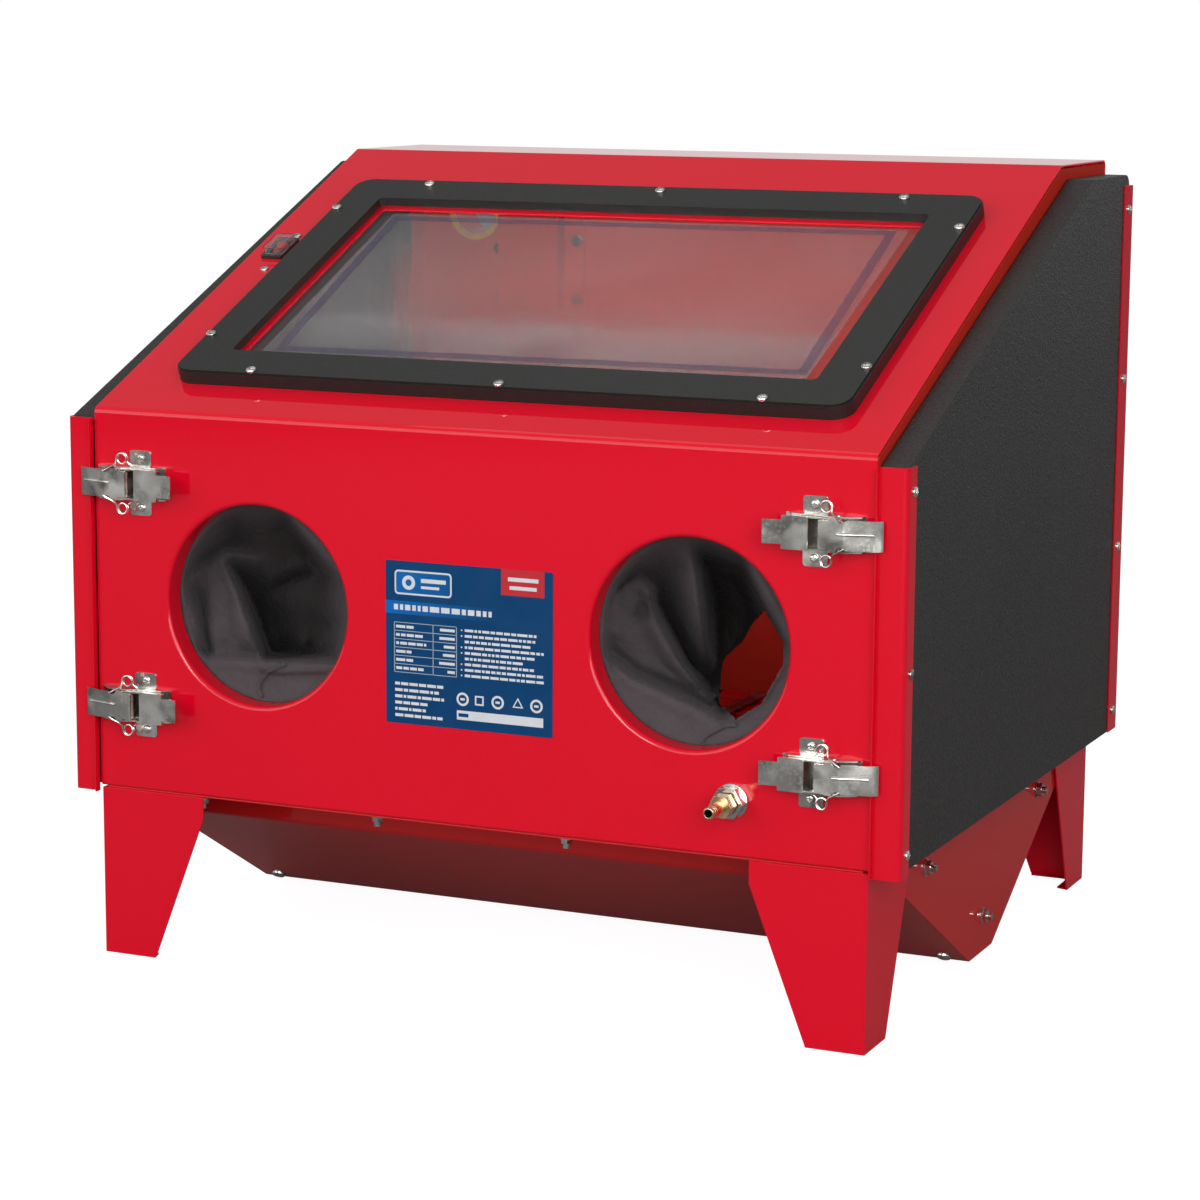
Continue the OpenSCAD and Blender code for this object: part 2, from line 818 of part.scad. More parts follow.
module front_strip_right() { color(red) front_strip(); }
module front_strip_left() { color(red) mirror([1, 0, 0]) front_strip(); }

// rear strip: side flange on the door, rear flange and every other hinge knuckle
module rear_strip() {
    z0 = floor_z;
    web_y = pin_y - knuckle_r;
    difference() {
        union() {
            block([door_out, door_rear - 16, z0], [strip_out, web_y + strip_t, rear_strip_top]);
            block([pin_x + knuckle_r + 0.6, web_y, z0], [strip_out, web_y + strip_t, rear_strip_top]);
            for (k = [0:2:knuckle_count - 1])
                translate([pin_x, pin_y, knuckle_z + k * knuckle_l]) {
                    cylinder(h = knuckle_l - 0.6, r = knuckle_r);
                    translate([0, -knuckle_r, 0]) cube([knuckle_r + 1, strip_t, knuckle_l - 0.6]);
                }
        }
        translate([pin_x, pin_y, z0 - 1]) cylinder(h = cab_h, r = pin_r + 0.05);
    }
}

module rear_strip_right() { color(red) rear_strip(); }
module rear_strip_left() { color(red) mirror([1, 0, 0]) rear_strip(); }

module hinge_leaves() {
    color(red)
        mirrored()
            difference() {
                union() {
                    block([half_w - 26, rear_y, floor_z + 2], [half_w - 1.5, rear_y + strip_t, rear_strip_top]);
                    for (k = [1:2:knuckle_count - 1])
                        translate([pin_x, pin_y, knuckle_z + k * knuckle_l]) {
                            cylinder(h = knuckle_l - 0.6, r = knuckle_r);
                            translate([-knuckle_r - 2, -knuckle_r - 0.7, 0])
                                cube([knuckle_r + 2, strip_t + 0.7, knuckle_l - 0.6]);
                        }
                }
                translate([pin_x, pin_y, floor_z - 1]) cylinder(h = cab_h, r = pin_r + 0.05);
            }
}

module hinge_pins() {
    color(zinc)
        mirrored()
            translate([pin_x, pin_y, knuckle_z - 1.5]) cylinder(h = knuckle_count * knuckle_l + 2, r = pin_r);
}

module strip_screws() {
    for (z = [149.5, 282, 413])
        translate([strip_out, front_y + 12, z]) rotate([0, 90, 0]) pan_head(4, 2.2);
    for (z = [155, 298, 442, 585])
        translate([strip_out, door_rear - 5, z]) rotate([0, 90, 0]) pan_head(4, 2.2);
}

module strip_screws_right() { color(zinc) strip_screws(); }
module strip_screws_left() { color(zinc) mirror([1, 0, 0]) strip_screws(); }

// ---------- toggle latches ----------
// latch space: x outward from the screw line towards the door, y up, z out of the panel
// the left latches sit a little further out than the right ones
latch_shift = [1.5, 3];
lever_pivot = [20, 7];
claw_pivot = [9, 9];
wall_in = 12;
plate_t = 1.2;

module at_latch(side, row) {
    mirror([side < 0 ? 1 : 0, 0, 0])
        translate([latch_x + (side < 0 ? latch_shift[row] : 0), front_y, latch_z[row]])
            rotate([90, 0, 0])
                children();
}

// (x, z) outline pulled along the latch's y
module latch_side(y0, y1) {
    translate([0, y1, 0])
        rotate([90, 0, 0])
            linear_extrude(y1 - y0)
                children();
}

module latch_base() {
    difference() {
        union() {
            round_plate([-22, -13, 0], [39, 13, 1], 1);
            for (s = [-1, 1])
                latch_side(s > 0 ? wall_in : -wall_in - 1, s > 0 ? wall_in + 1 : -wall_in)
                    polygon([[-20, 0.5], [-16, 6], [6, 6], [14, 10.8], [26, 10.8], [37, 5], [39, 0.5]]);
            for (s = [-1, 1])
                round_plate([-9, s > 0 ? 12.5 : -25.5, 0], [10, s > 0 ? 25.5 : -12.5, 1.2], 2.5);
        }
        latch_side(-20, 20) translate(lever_pivot) circle(r = 1.65);
    }
}

module latch_bases() {
    color(zinc)
        for (side = [-1, 1], row = [0, 1])
            at_latch(side, row) latch_base();
}

module latch_screws() {
    color(zinc)
        for (side = [-1, 1], row = [0, 1], s = [-1, 1])
            at_latch(side, row)
                translate([0, s * 19.3, 1.2]) pan_head(3.3, 1.8);
}

module latch_lever() {
    top = lever_y;
    round_plate([-21, -12.2, top], [-1, 12.2, top + plate_t], 0.8);
    latch_side(-8.8, 8.8)
        polygon([[-20, top + plate_t], [-24, top + plate_t], [-28, top + plate_t + 0.3], [-32, top + plate_t + 1],
            [-34.8, top + plate_t + 1.7], [-34.6, top + 1], [-32, top + 0.2], [-28, top - 0.5], [-24, top],
            [-20, top]]);
    for (s = [-1, 1])
        latch_side(s > 0 ? 10.8 : -11.8, s > 0 ? 11.8 : -10.8)
            polygon(rounded([[-21, top + 0.5], [-21, 8], [8, 4.5], [16, 2.6], [24.6, 2.6], [24.6, 11.6],
                [16, 12.2], [-1, 12.2], [-1, top + 0.5]], [0, 2, 0, 3, 4, 4, 2, 0, 0]));
    latch_side(-13.6, 13.6) translate(lever_pivot) circle(r = 1.6);
    latch_side(-11.5, 11.5) translate(claw_pivot) circle(r = 1.4);
}

// wire spring: a leg from the base wall, a coil of 1.6 turns and a leg onto the claw
coil_at = [11.8, 19.6];
coil_r = 4.2;
coil_sweep = 585;
spring_route = concat(
    [[4.5, 14.2, 7.2], [6.4, 15.6, 7.6]],
    [for (k = [0:26]) let (a = 215 - coil_sweep * k / 26)
        [coil_at[0] + coil_r * cos(a), coil_at[1] + coil_r * sin(a), 8 + 2.9 * k / 26]],
    [[16.6, 15.6, 11.6], [18.8, 13.6, 12.8], [21.4, 12.3, 13.6], [23.6, 11, 14.6], [26.5, 9.4, 14.6]]
);

// slope of the claw plate down to the strip
claw_slope = 14.8;

// claw plate with a pressed rib, hooked end, pivot ears and its two wire springs
module latch_claw() {
    z0 = lever_y;
    difference() {
        union() {
            round_plate([7, -10.3, z0], [20, 10.3, z0 + plate_t], 0.8);
            round_plate([14.5, -12.2, z0], [26, 12.2, z0 + plate_t], 0.8);
            round_plate([16, -10.9, z0], [26, 10.9, z0 + plate_t], 1);
            latch_side(-10.9, 10.9)
                polygon([[24, z0], [25, z0], [49, 6.6], [51.9, 3.6], [52.7, 4.5], [49.5, 7.8], [25.2, z0 + plate_t],
                    [24, z0 + plate_t]]);
            for (s = [-1, 1])
                latch_side(s > 0 ? 9.4 : -10.4, s > 0 ? 10.4 : -9.4)
                    polygon(rounded([[5.8, 6], [12.5, 6], [14, z0 + 0.5], [7, z0 + 0.5]], [3, 3, 0, 0]));
            translate([21, 1, z0 + plate_t]) rotate([0, 90, 0]) cylinder(h = 4, r = 1.2);
            translate([25, 1, z0 + plate_t]) rotate([0, 90 + claw_slope, 0]) cylinder(h = 22.5, r = 1.2);
        }
        latch_side(-20, 20) translate(claw_pivot) circle(r = 1.45);
        for (s = [-1, 1])
            translate([24, s * 13, z0 - 1]) cylinder(h = 4, r = 4);
    }
    for (s = [0, 1])
        mirror([0, s, 0]) hose(spring_route, 0.75, 8, [0, 0, 1]);
}

module latch_lever_lu() { color(zinc) at_latch(-1, 1) latch_lever(); }
module latch_lever_ll() { color(zinc) at_latch(-1, 0) latch_lever(); }
module latch_lever_ru() { color(zinc) at_latch(1, 1) latch_lever(); }
module latch_lever_rl() { color(zinc) at_latch(1, 0) latch_lever(); }
module latch_claw_lu() { color(zinc) at_latch(-1, 1) latch_claw(); }
module latch_claw_ll() { color(zinc) at_latch(-1, 0) latch_claw(); }
module latch_claw_ru() { color(zinc) at_latch(1, 1) latch_claw(); }
module latch_claw_rl() { color(zinc) at_latch(1, 0) latch_claw(); }

cabinet_shell();
rear_panel();
side_frames();
hopper_trough();
hopper_ends();
hopper_bolts();
flange_bolts();
leg_front_left();
leg_front_right();
leg_rear_left();
leg_rear_right();
window_frame();
window_glass();
window_gasket();
window_film();
panel_screws();
switch_bezel();
switch_cover();
switch_rocker();
sleeve_left();
sleeve_right();
sleeve_clamps();
label_plate();
inlet_nut();
inlet_barb();
air_hose();
gun_body();
gun_nozzle();
gun_trigger();
media_hose();
pickup_tube();
work_grate();
lamp_housing();
lamp_tube();
exhaust_spigot();
exhaust_gasket();
baffle_box();
baffle_bolts();
hinge_leaves();
hinge_pins();
latch_bases();
latch_screws();
door_skin_left();
door_skin_right();
front_strip_left();
front_strip_right();
rear_strip_left();
rear_strip_right();
door_seal_left();
door_seal_right();
strip_screws_left();
strip_screws_right();
latch_lever_lu();
latch_lever_ll();
latch_lever_ru();
latch_lever_rl();
latch_claw_lu();
latch_claw_ll();
latch_claw_ru();
latch_claw_rl();
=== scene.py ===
import json
import math
import random

import bmesh
import bpy
import numpy as np
from mathutils import Matrix, Vector


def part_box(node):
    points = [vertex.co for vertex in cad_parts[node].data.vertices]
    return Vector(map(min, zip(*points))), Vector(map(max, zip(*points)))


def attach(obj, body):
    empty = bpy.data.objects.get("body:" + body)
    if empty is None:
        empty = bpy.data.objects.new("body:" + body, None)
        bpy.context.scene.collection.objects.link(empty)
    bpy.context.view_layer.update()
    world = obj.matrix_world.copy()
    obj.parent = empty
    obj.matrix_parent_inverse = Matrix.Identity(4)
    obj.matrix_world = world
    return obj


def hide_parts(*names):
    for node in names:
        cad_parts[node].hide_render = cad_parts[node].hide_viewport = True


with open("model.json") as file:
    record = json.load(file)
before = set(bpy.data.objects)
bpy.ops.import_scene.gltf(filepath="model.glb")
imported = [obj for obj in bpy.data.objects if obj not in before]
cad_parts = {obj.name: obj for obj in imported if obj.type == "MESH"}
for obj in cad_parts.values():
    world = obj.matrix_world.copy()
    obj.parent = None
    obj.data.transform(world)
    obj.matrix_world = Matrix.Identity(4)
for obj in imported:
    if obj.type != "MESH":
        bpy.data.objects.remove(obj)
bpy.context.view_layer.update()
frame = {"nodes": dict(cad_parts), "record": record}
NODES = frame["nodes"]
MM = 0.001
DOME = (0.16, 0.42)  # strength of the studio dome, back right and front left
HORIZON = (0.56, 0.05)  # what the dome adds at the horizon, and above 30 degrees
KEY_W = 29  # lamp powers, in watts
RIGHT_W = 54
TOP_W = 7
INSIDE_W = 0.42
SHINE_W = 34
FLOOR_GREY = 0.26
FLOOR_WHITE = 0.94  # added where the camera sees the floor, so that it reads as paper white
FLOOR_GLOW = 0.02  # added where the paint mirrors the floor


# ---------------------------------------------------------------- camera, light and floor
def make_camera():
    """The photo's camera, as solved from the cabinet's straight edges."""
    data = bpy.data.cameras.new("camera")
    data.sensor_width = 36
    data.lens = 99.87
    data.clip_end = 50
    cam = bpy.data.objects.new("camera", data)
    bpy.context.scene.collection.objects.link(cam)
    cam.location = (1.0957, -2.4810, 0.7377)
    cam.rotation_euler = [math.radians(a) for a in (80.152, -0.340, 24.199)]
    bpy.context.scene.camera = cam


def area_light(name, at, aim, size, power, colour=(1, 1, 1), spread=180, glossy=True, diffuse=True):
    data = bpy.data.lights.new(name, "AREA")
    data.spread = math.radians(spread)
    data.shape = "RECTANGLE"
    data.size, data.size_y = size
    data.energy = power
    data.color = colour
    lamp = bpy.data.objects.new(name, data)
    lamp.visible_camera = False
    lamp.visible_glossy = glossy
    lamp.visible_diffuse = diffuse
    bpy.context.scene.collection.objects.link(lamp)
    lamp.location = at
    lamp.rotation_euler = (Vector(aim) - Vector(at)).to_track_quat("-Z", "Y").to_euler()


def set_range(node, low, high, to_low, to_high):
    """Settings of a Map Range node."""
    for socket, number in zip(("From Min", "From Max", "To Min", "To Max"), (low, high, to_low, to_high)):
        node.inputs[socket].default_value = number


def make_world():
    """White studio to the camera. To the paint it's a soft dome, brighter in front, to the left and low down."""
    world = bpy.data.worlds.new("studio")
    world.use_nodes = True
    tree = world.node_tree
    background = tree.nodes["Background"]
    coords = tree.nodes.new("ShaderNodeTexCoord")
    turn = tree.nodes.new("ShaderNodeMapping")
    turn.inputs["Rotation"].default_value = (0, 0, math.radians(35))
    split = tree.nodes.new("ShaderNodeSeparateXYZ")
    ramp = tree.nodes.new("ShaderNodeMapRange")
    set_range(ramp, -1.0, 1.0, DOME[1], DOME[0])
    tree.links.new(coords.outputs["Generated"], turn.inputs["Vector"])
    tree.links.new(turn.outputs["Vector"], split.inputs["Vector"])
    tree.links.new(split.outputs["Y"], ramp.inputs["Value"])
    low = tree.nodes.new("ShaderNodeMapRange")
    set_range(low, 0.05, 0.5, HORIZON[0], HORIZON[1])
    add = tree.nodes.new("ShaderNodeMath")
    tree.links.new(split.outputs["Z"], low.inputs["Value"])
    tree.links.new(ramp.outputs["Result"], add.inputs[0])
    tree.links.new(low.outputs["Result"], add.inputs[1])
    tree.links.new(add.outputs["Value"], background.inputs["Strength"])
    background.inputs["Color"].default_value = (0.98, 0.99, 1.0, 1)
    plain = tree.nodes.new("ShaderNodeBackground")
    plain.inputs["Color"].default_value = (1, 1, 1, 1)
    path = tree.nodes.new("ShaderNodeLightPath")
    mix = tree.nodes.new("ShaderNodeMixShader")
    tree.links.new(path.outputs["Is Camera Ray"], mix.inputs["Fac"])
    tree.links.new(background.outputs["Background"], mix.inputs[1])
    tree.links.new(plain.outputs["Background"], mix.inputs[2])
    tree.links.new(mix.outputs["Shader"], tree.nodes["World Output"].inputs["Surface"])
    bpy.context.scene.world = world


def make_lights():
    """Soft boxes in front and above, one that only shows as gloss, and the lamp inside."""
    area_light("key", (-1.7, -2.9, 1.6), (0, -0.1, 0.3), (3.0, 2.2), KEY_W)
    area_light("top_box", (0.0, 0.3, 2.6), (0, 0, 0.5), (2.4, 1.6), TOP_W)
    area_light("key_right", (1.9, -2.8, 1.4), (0.1, -0.1, 0.3), (2.4, 2.0), RIGHT_W)
    area_light("shine", (0.3, -2.9, 1.3), (0, -0.28, 0.32), (1.3, 0.8), SHINE_W, diffuse=False)
    area_light("inside_fill", (0.02, -0.255, 0.42), (0.02, 0.28, 0.56), (0.55, 0.03), INSIDE_W,
               (1.0, 0.86, 0.78), spread=95, glossy=False)


def make_floor():
    """Pale floor that reads as paper white to the camera."""
    bm = bmesh.new()
    bmesh.ops.create_grid(bm, x_segments=8, y_segments=8, size=14)
    mesh = bpy.data.meshes.new("floor")
    bm.to_mesh(mesh)
    bm.free()
    floor = bpy.data.objects.new("floor", mesh)
    bpy.context.scene.collection.objects.link(floor)
    mat = bpy.data.materials.new("floor")
    mat.use_nodes = True
    tree = mat.node_tree
    shader = tree.nodes["Principled BSDF"]
    shader.inputs["Base Color"].default_value = (FLOOR_GREY, FLOOR_GREY, FLOOR_GREY, 1)
    shader.inputs["Roughness"].default_value = 0.9
    shader.inputs["Specular IOR Level"].default_value = 0.0
    white = tree.nodes.new("ShaderNodeEmission")
    white.inputs["Strength"].default_value = FLOOR_WHITE
    glow = tree.nodes.new("ShaderNodeEmission")
    glow.inputs["Strength"].default_value = FLOOR_GLOW
    both = tree.nodes.new("ShaderNodeAddShader")
    mirrored = tree.nodes.new("ShaderNodeAddShader")
    path = tree.nodes.new("ShaderNodeLightPath")
    pick = tree.nodes.new("ShaderNodeMixShader")
    mix = tree.nodes.new("ShaderNodeMixShader")
    for pair, lamp in ((both, white), (mirrored, glow)):
        tree.links.new(shader.outputs["BSDF"], pair.inputs[0])
        tree.links.new(lamp.outputs["Emission"], pair.inputs[1])
    tree.links.new(path.outputs["Is Glossy Ray"], pick.inputs["Fac"])
    tree.links.new(shader.outputs["BSDF"], pick.inputs[1])
    tree.links.new(mirrored.outputs["Shader"], pick.inputs[2])
    tree.links.new(path.outputs["Is Camera Ray"], mix.inputs["Fac"])
    tree.links.new(pick.outputs["Shader"], mix.inputs[1])
    tree.links.new(both.outputs["Shader"], mix.inputs[2])
    tree.links.new(mix.outputs["Shader"], tree.nodes["Material Output"].inputs["Surface"])
    mesh.materials.append(mat)


# ---------------------------------------------------------------- materials
class Finish:
    """A procedural material: a Principled shader fed by layers of noise, in metres."""

    def __init__(self, name, colour, rough, **sockets):
        self.mat = bpy.data.materials.new(name)
        self.mat.use_nodes = True
        self.tree = self.mat.node_tree
        self.shader = self.tree.nodes["Principled BSDF"]
        self.set("Base Color", (*colour, 1))
        self.set("Roughness", rough)
        self.colour, self.rough = colour, rough
        for key, value in sockets.items():
            self.set(key.replace("_", " "), value)
        self.space = self.tree.nodes.new("ShaderNodeTexCoord").outputs["Object"]
        self.height = None

    def set(self, socket, value):
        self.shader.inputs[socket].default_value = value

    def noise(self, scale, detail, rough=0.5):
        tex = self.tree.nodes.new("ShaderNodeTexNoise")
        tex.inputs["Scale"].default_value = scale
        tex.inputs["Detail"].default_value = detail
        tex.inputs["Roughness"].default_value = rough
        self.tree.links.new(self.space, tex.inputs["Vector"])
        return tex.outputs["Fac"]

    def cells(self, scale):
        tex = self.tree.nodes.new("ShaderNodeTexVoronoi")
        tex.inputs["Scale"].default_value = scale
        self.tree.links.new(self.space, tex.inputs["Vector"])
        return tex.outputs["Distance"]

    def remap(self, value, low, high, to_low, to_high):
        node = self.tree.nodes.new("ShaderNodeMapRange")
        set_range(node, low, high, to_low, to_high)
        self.tree.links.new(value, node.inputs["Value"])
        return node.outputs["Result"]

    def tint(self, factor, colour):
        """Base colour moves towards colour by factor."""
        mix = self.tree.nodes.new("ShaderNodeMix")
        mix.data_type = "RGBA"
        self.tree.links.new(factor, mix.inputs["Factor"])
        links = self.shader.inputs["Base Color"].links
        if links:
            self.tree.links.new(links[0].from_socket, mix.inputs["A"])
        else:
            mix.inputs["A"].default_value = (*self.colour, 1)
        mix.inputs["B"].default_value = (*colour, 1)
        self.tree.links.new(mix.outputs["Result"], self.shader.inputs["Base Color"])

    def gloss(self, value, spread):
        """Roughness varies by spread either side of its base value."""
        out = self.remap(value, 0.35, 0.65, self.rough - spread, self.rough + spread)
        self.tree.links.new(out, self.shader.inputs["Roughness"])

    def bump(self, value, depth):
        """Adds relief of the given depth in metres."""
        node = self.tree.nodes.new("ShaderNodeBump")
        node.inputs["Strength"].default_value = 1.0
        node.inputs["Distance"].default_value = depth
        self.tree.links.new(value, node.inputs["Height"])
        if self.height:
            self.tree.links.new(self.height, node.inputs["Normal"])
        self.height = node.outputs["Normal"]
        self.tree.links.new(self.height, self.shader.inputs["Normal"])


def red_paint(name, colour, coat=0.9):
    """Stove enamel: even colour, orange peel and a few dust nibs under a clear gloss."""
    f = Finish(name, colour, 0.5, Coat_Weight=coat, Coat_Roughness=0.03, Specular_IOR_Level=0.0)
    f.tint(f.remap(f.noise(3, 3), 0.3, 0.75, 0, 0.3), tuple(c * 0.9 for c in colour))
    f.tint(f.remap(f.noise(1400, 1), 0.74, 0.8, 0, 0.2), (0.9, 0.3, 0.3))
    f.gloss(f.noise(30, 4), spread=0.04)
    f.bump(f.noise(420, 1), 0.000004)
    f.bump(f.noise(30, 0), 0.00001)
    return f.mat


def wrinkle_black():
    """Fine wrinkle coat on the door pans."""
    f = Finish("wrinkle_black", (0.019, 0.0165, 0.0155), 0.46, Specular_IOR_Level=0.42)
    f.tint(f.remap(f.noise(420, 2), 0.5, 0.72, 0, 0.5), (0.062, 0.056, 0.052))
    f.tint(f.remap(f.noise(5, 2), 0.35, 0.7, 0, 0.35), (0.030, 0.027, 0.025))
    f.gloss(f.noise(500, 2), spread=0.07)
    f.bump(f.noise(380, 3, 0.6), 0.0006)
    f.bump(f.cells(620), 0.00016)
    return f.mat


def grained_black():
    """Leather-grained ABS."""
    f = Finish("grained_black", (0.015, 0.014, 0.013), 0.38, Specular_IOR_Level=0.35)
    f.tint(f.remap(f.noise(1000, 2), 0.5, 0.75, 0, 0.5), (0.04, 0.038, 0.035))
    f.gloss(f.noise(600, 2), spread=0.05)
    f.bump(f.noise(1100, 3, 0.6), 0.00016)
    f.bump(f.cells(800), 0.00008)
    return f.mat


def zinc(name, colour=(0.60, 0.585, 0.545), rough=0.22):
    """Bright zinc and other bare metal: broad dark and bright patches painted into the colour as painted
    reflections, finer uneven passivation, soft dents and a patchy gloss.
    """
    f = Finish(name, colour, rough, Metallic=1.0)
    # painted reflections: broad darker and brighter patches in the metal's colour
    f.tint(f.remap(f.noise(34, 1), 0.36, 0.50, 0.75, 0), tuple(c * 0.38 for c in colour))
    f.tint(f.remap(f.noise(52, 1), 0.50, 0.64, 0, 0.9), tuple(min(1, c * 1.6) for c in colour))
    f.tint(f.remap(f.noise(420, 3), 0.5, 0.7, 0, 0.5), tuple(min(1, c * 1.5) for c in colour))
    f.tint(f.remap(f.noise(900, 2), 0.5, 0.75, 0, 0.35), tuple(c * 0.6 for c in colour))
    f.gloss(f.noise(60, 1), spread=0.04)
    f.bump(f.noise(1500, 1), 0.000001)
    f.bump(f.noise(24, 0), 0.0045)
    return f.mat


def simple(name, colour, rough, second):
    """Moulded or cast stuff: colour mottled with a second one, uneven gloss and light relief."""
    f = Finish(name, colour, rough)
    f.tint(f.remap(f.noise(120, 3), 0.4, 0.7, 0, 0.6), second)
    f.gloss(f.noise(48, 3), spread=min(0.08, rough * 0.5))
    f.bump(f.noise(480, 2), 0.00008)
    return f.mat


def see_through(name, colour, rough, haze=None, ior=1.33):
    """Clear glass or film with faint smears. Lamps shine straight through it.
    haze is the share of the light that dust takes, and the dust's colour."""
    f = Finish(name, colour, rough, Transmission_Weight=1.0, IOR=ior)
    f.gloss(f.noise(7, 4), spread=rough * 0.6)
    f.tint(f.remap(f.noise(11, 4), 0.4, 0.75, 0, 0.3), tuple(c * 0.93 for c in colour))
    out = f.tree.nodes["Material Output"]
    body = f.shader.outputs["BSDF"]
    if haze:
        dust = f.tree.nodes.new("ShaderNodeBsdfPrincipled")
        dust.inputs["Base Color"].default_value = (*haze[1], 1)
        dust.inputs["Roughness"].default_value = 0.6
        blend = f.tree.nodes.new("ShaderNodeMixShader")
        dusty = f.remap(f.noise(6, 3), 0.3, 0.7, haze[0] * 0.7, haze[0] * 1.3)
        f.tree.links.new(dusty, blend.inputs["Fac"])
        f.tree.links.new(body, blend.inputs[1])
        f.tree.links.new(dust.outputs["BSDF"], blend.inputs[2])
        body = blend.outputs["Shader"]
    open_to_light = f.tree.nodes.new("ShaderNodeBsdfTransparent")
    open_to_light.inputs["Color"].default_value = (*colour, 1)
    path = f.tree.nodes.new("ShaderNodeLightPath")
    lamp = f.tree.nodes.new("ShaderNodeMixShader")
    f.tree.links.new(path.outputs["Is Shadow Ray"], lamp.inputs["Fac"])
    f.tree.links.new(body, lamp.inputs[1])
    f.tree.links.new(open_to_light.outputs["BSDF"], lamp.inputs[2])
    f.tree.links.new(lamp.outputs["Shader"], out.inputs["Surface"])
    return f.mat


CLOTH_PAINTED_SHADE_FROM_Y = -0.2555  # painted shade: the cloth's colour darkens from here inwards, deeper in the sleeve
CLOTH_PAINTED_SHADE_FULL_Y = -0.208


def cloth_weave():
    """Coated polyester: plain weave at half a millimetre, soft creases, a dull sheen, and painted shade that
    darkens the colour deeper in the sleeve.
    """
    f = Finish("sleeve_cloth", (0.096, 0.084, 0.090), 0.78, Sheen_Weight=0.08, Sheen_Roughness=0.5,
               Specular_IOR_Level=0.12)
    for direction in ("X", "Z"):
        wave = f.tree.nodes.new("ShaderNodeTexWave")
        wave.bands_direction = direction
        wave.inputs["Scale"].default_value = 620
        wave.inputs["Distortion"].default_value = 1.5
        f.tree.links.new(f.space, wave.inputs["Vector"])
        f.bump(wave.outputs["Fac"], 0.00008)
    f.tint(f.remap(f.noise(45, 4), 0.4, 0.7, 0, 0.5), (0.072, 0.064, 0.068))
    f.tint(f.remap(f.noise(900, 2), 0.6, 0.8, 0, 0.4), (0.14, 0.13, 0.14))
    split = f.tree.nodes.new("ShaderNodeSeparateXYZ")
    f.tree.links.new(f.space, split.inputs["Vector"])
    # painted shade: the colour darkens towards near black with depth into the sleeve
    f.tint(f.remap(split.outputs["Y"], CLOTH_PAINTED_SHADE_FROM_Y, CLOTH_PAINTED_SHADE_FULL_Y, 0, 0.96), (0.007, 0.0045, 0.0035))
    f.gloss(f.noise(80, 3), spread=0.08)
    f.bump(f.noise(50, 4, 0.6), 0.0042)
    f.bump(f.noise(180, 3), 0.0008)
    return f.mat


def printed(name, colour, rough=0.4):
    """Screen-printed vinyl: slightly uneven ink under a satin laminate."""
    f = Finish(name, colour, rough, Specular_IOR_Level=0.18)
    f.tint(f.remap(f.noise(60, 3), 0.4, 0.7, 0, 0.5), tuple(c * 0.86 for c in colour))
    f.gloss(f.noise(50, 3), spread=0.07)
    f.bump(f.noise(300, 2), 0.00002)
    return f.mat


def fading_band():
    """Blue stripe that runs out into the label's dark blue towards the right."""
    f = Finish("print_band", (0.0, 0.14, 0.46), 0.4, Specular_IOR_Level=0.18)
    split = f.tree.nodes.new("ShaderNodeSeparateXYZ")
    f.tree.links.new(f.space, split.inputs["Vector"])
    f.tint(f.remap(split.outputs["X"], -0.06, 0.025, 0, 1), (0.0, 0.052, 0.165))
    f.gloss(f.noise(50, 3), spread=0.07)
    f.bump(f.noise(300, 2), 0.00002)
    return f.mat


def speckled_tape():
    """Half see-through violet adhesive with pale specks."""
    f = Finish("film_tape", (0.125, 0.105, 0.18), 0.45, Specular_IOR_Level=0.3, Alpha=0.3)
    f.tint(f.remap(f.noise(260, 3), 0.45, 0.6, 0, 0.8), (0.09, 0.075, 0.14))
    f.tint(f.remap(f.noise(900, 2), 0.62, 0.72, 0, 0.5), (0.32, 0.30, 0.38))
    f.gloss(f.noise(200, 3), spread=0.1)
    f.bump(f.noise(400, 3), 0.0001)
    return f.mat


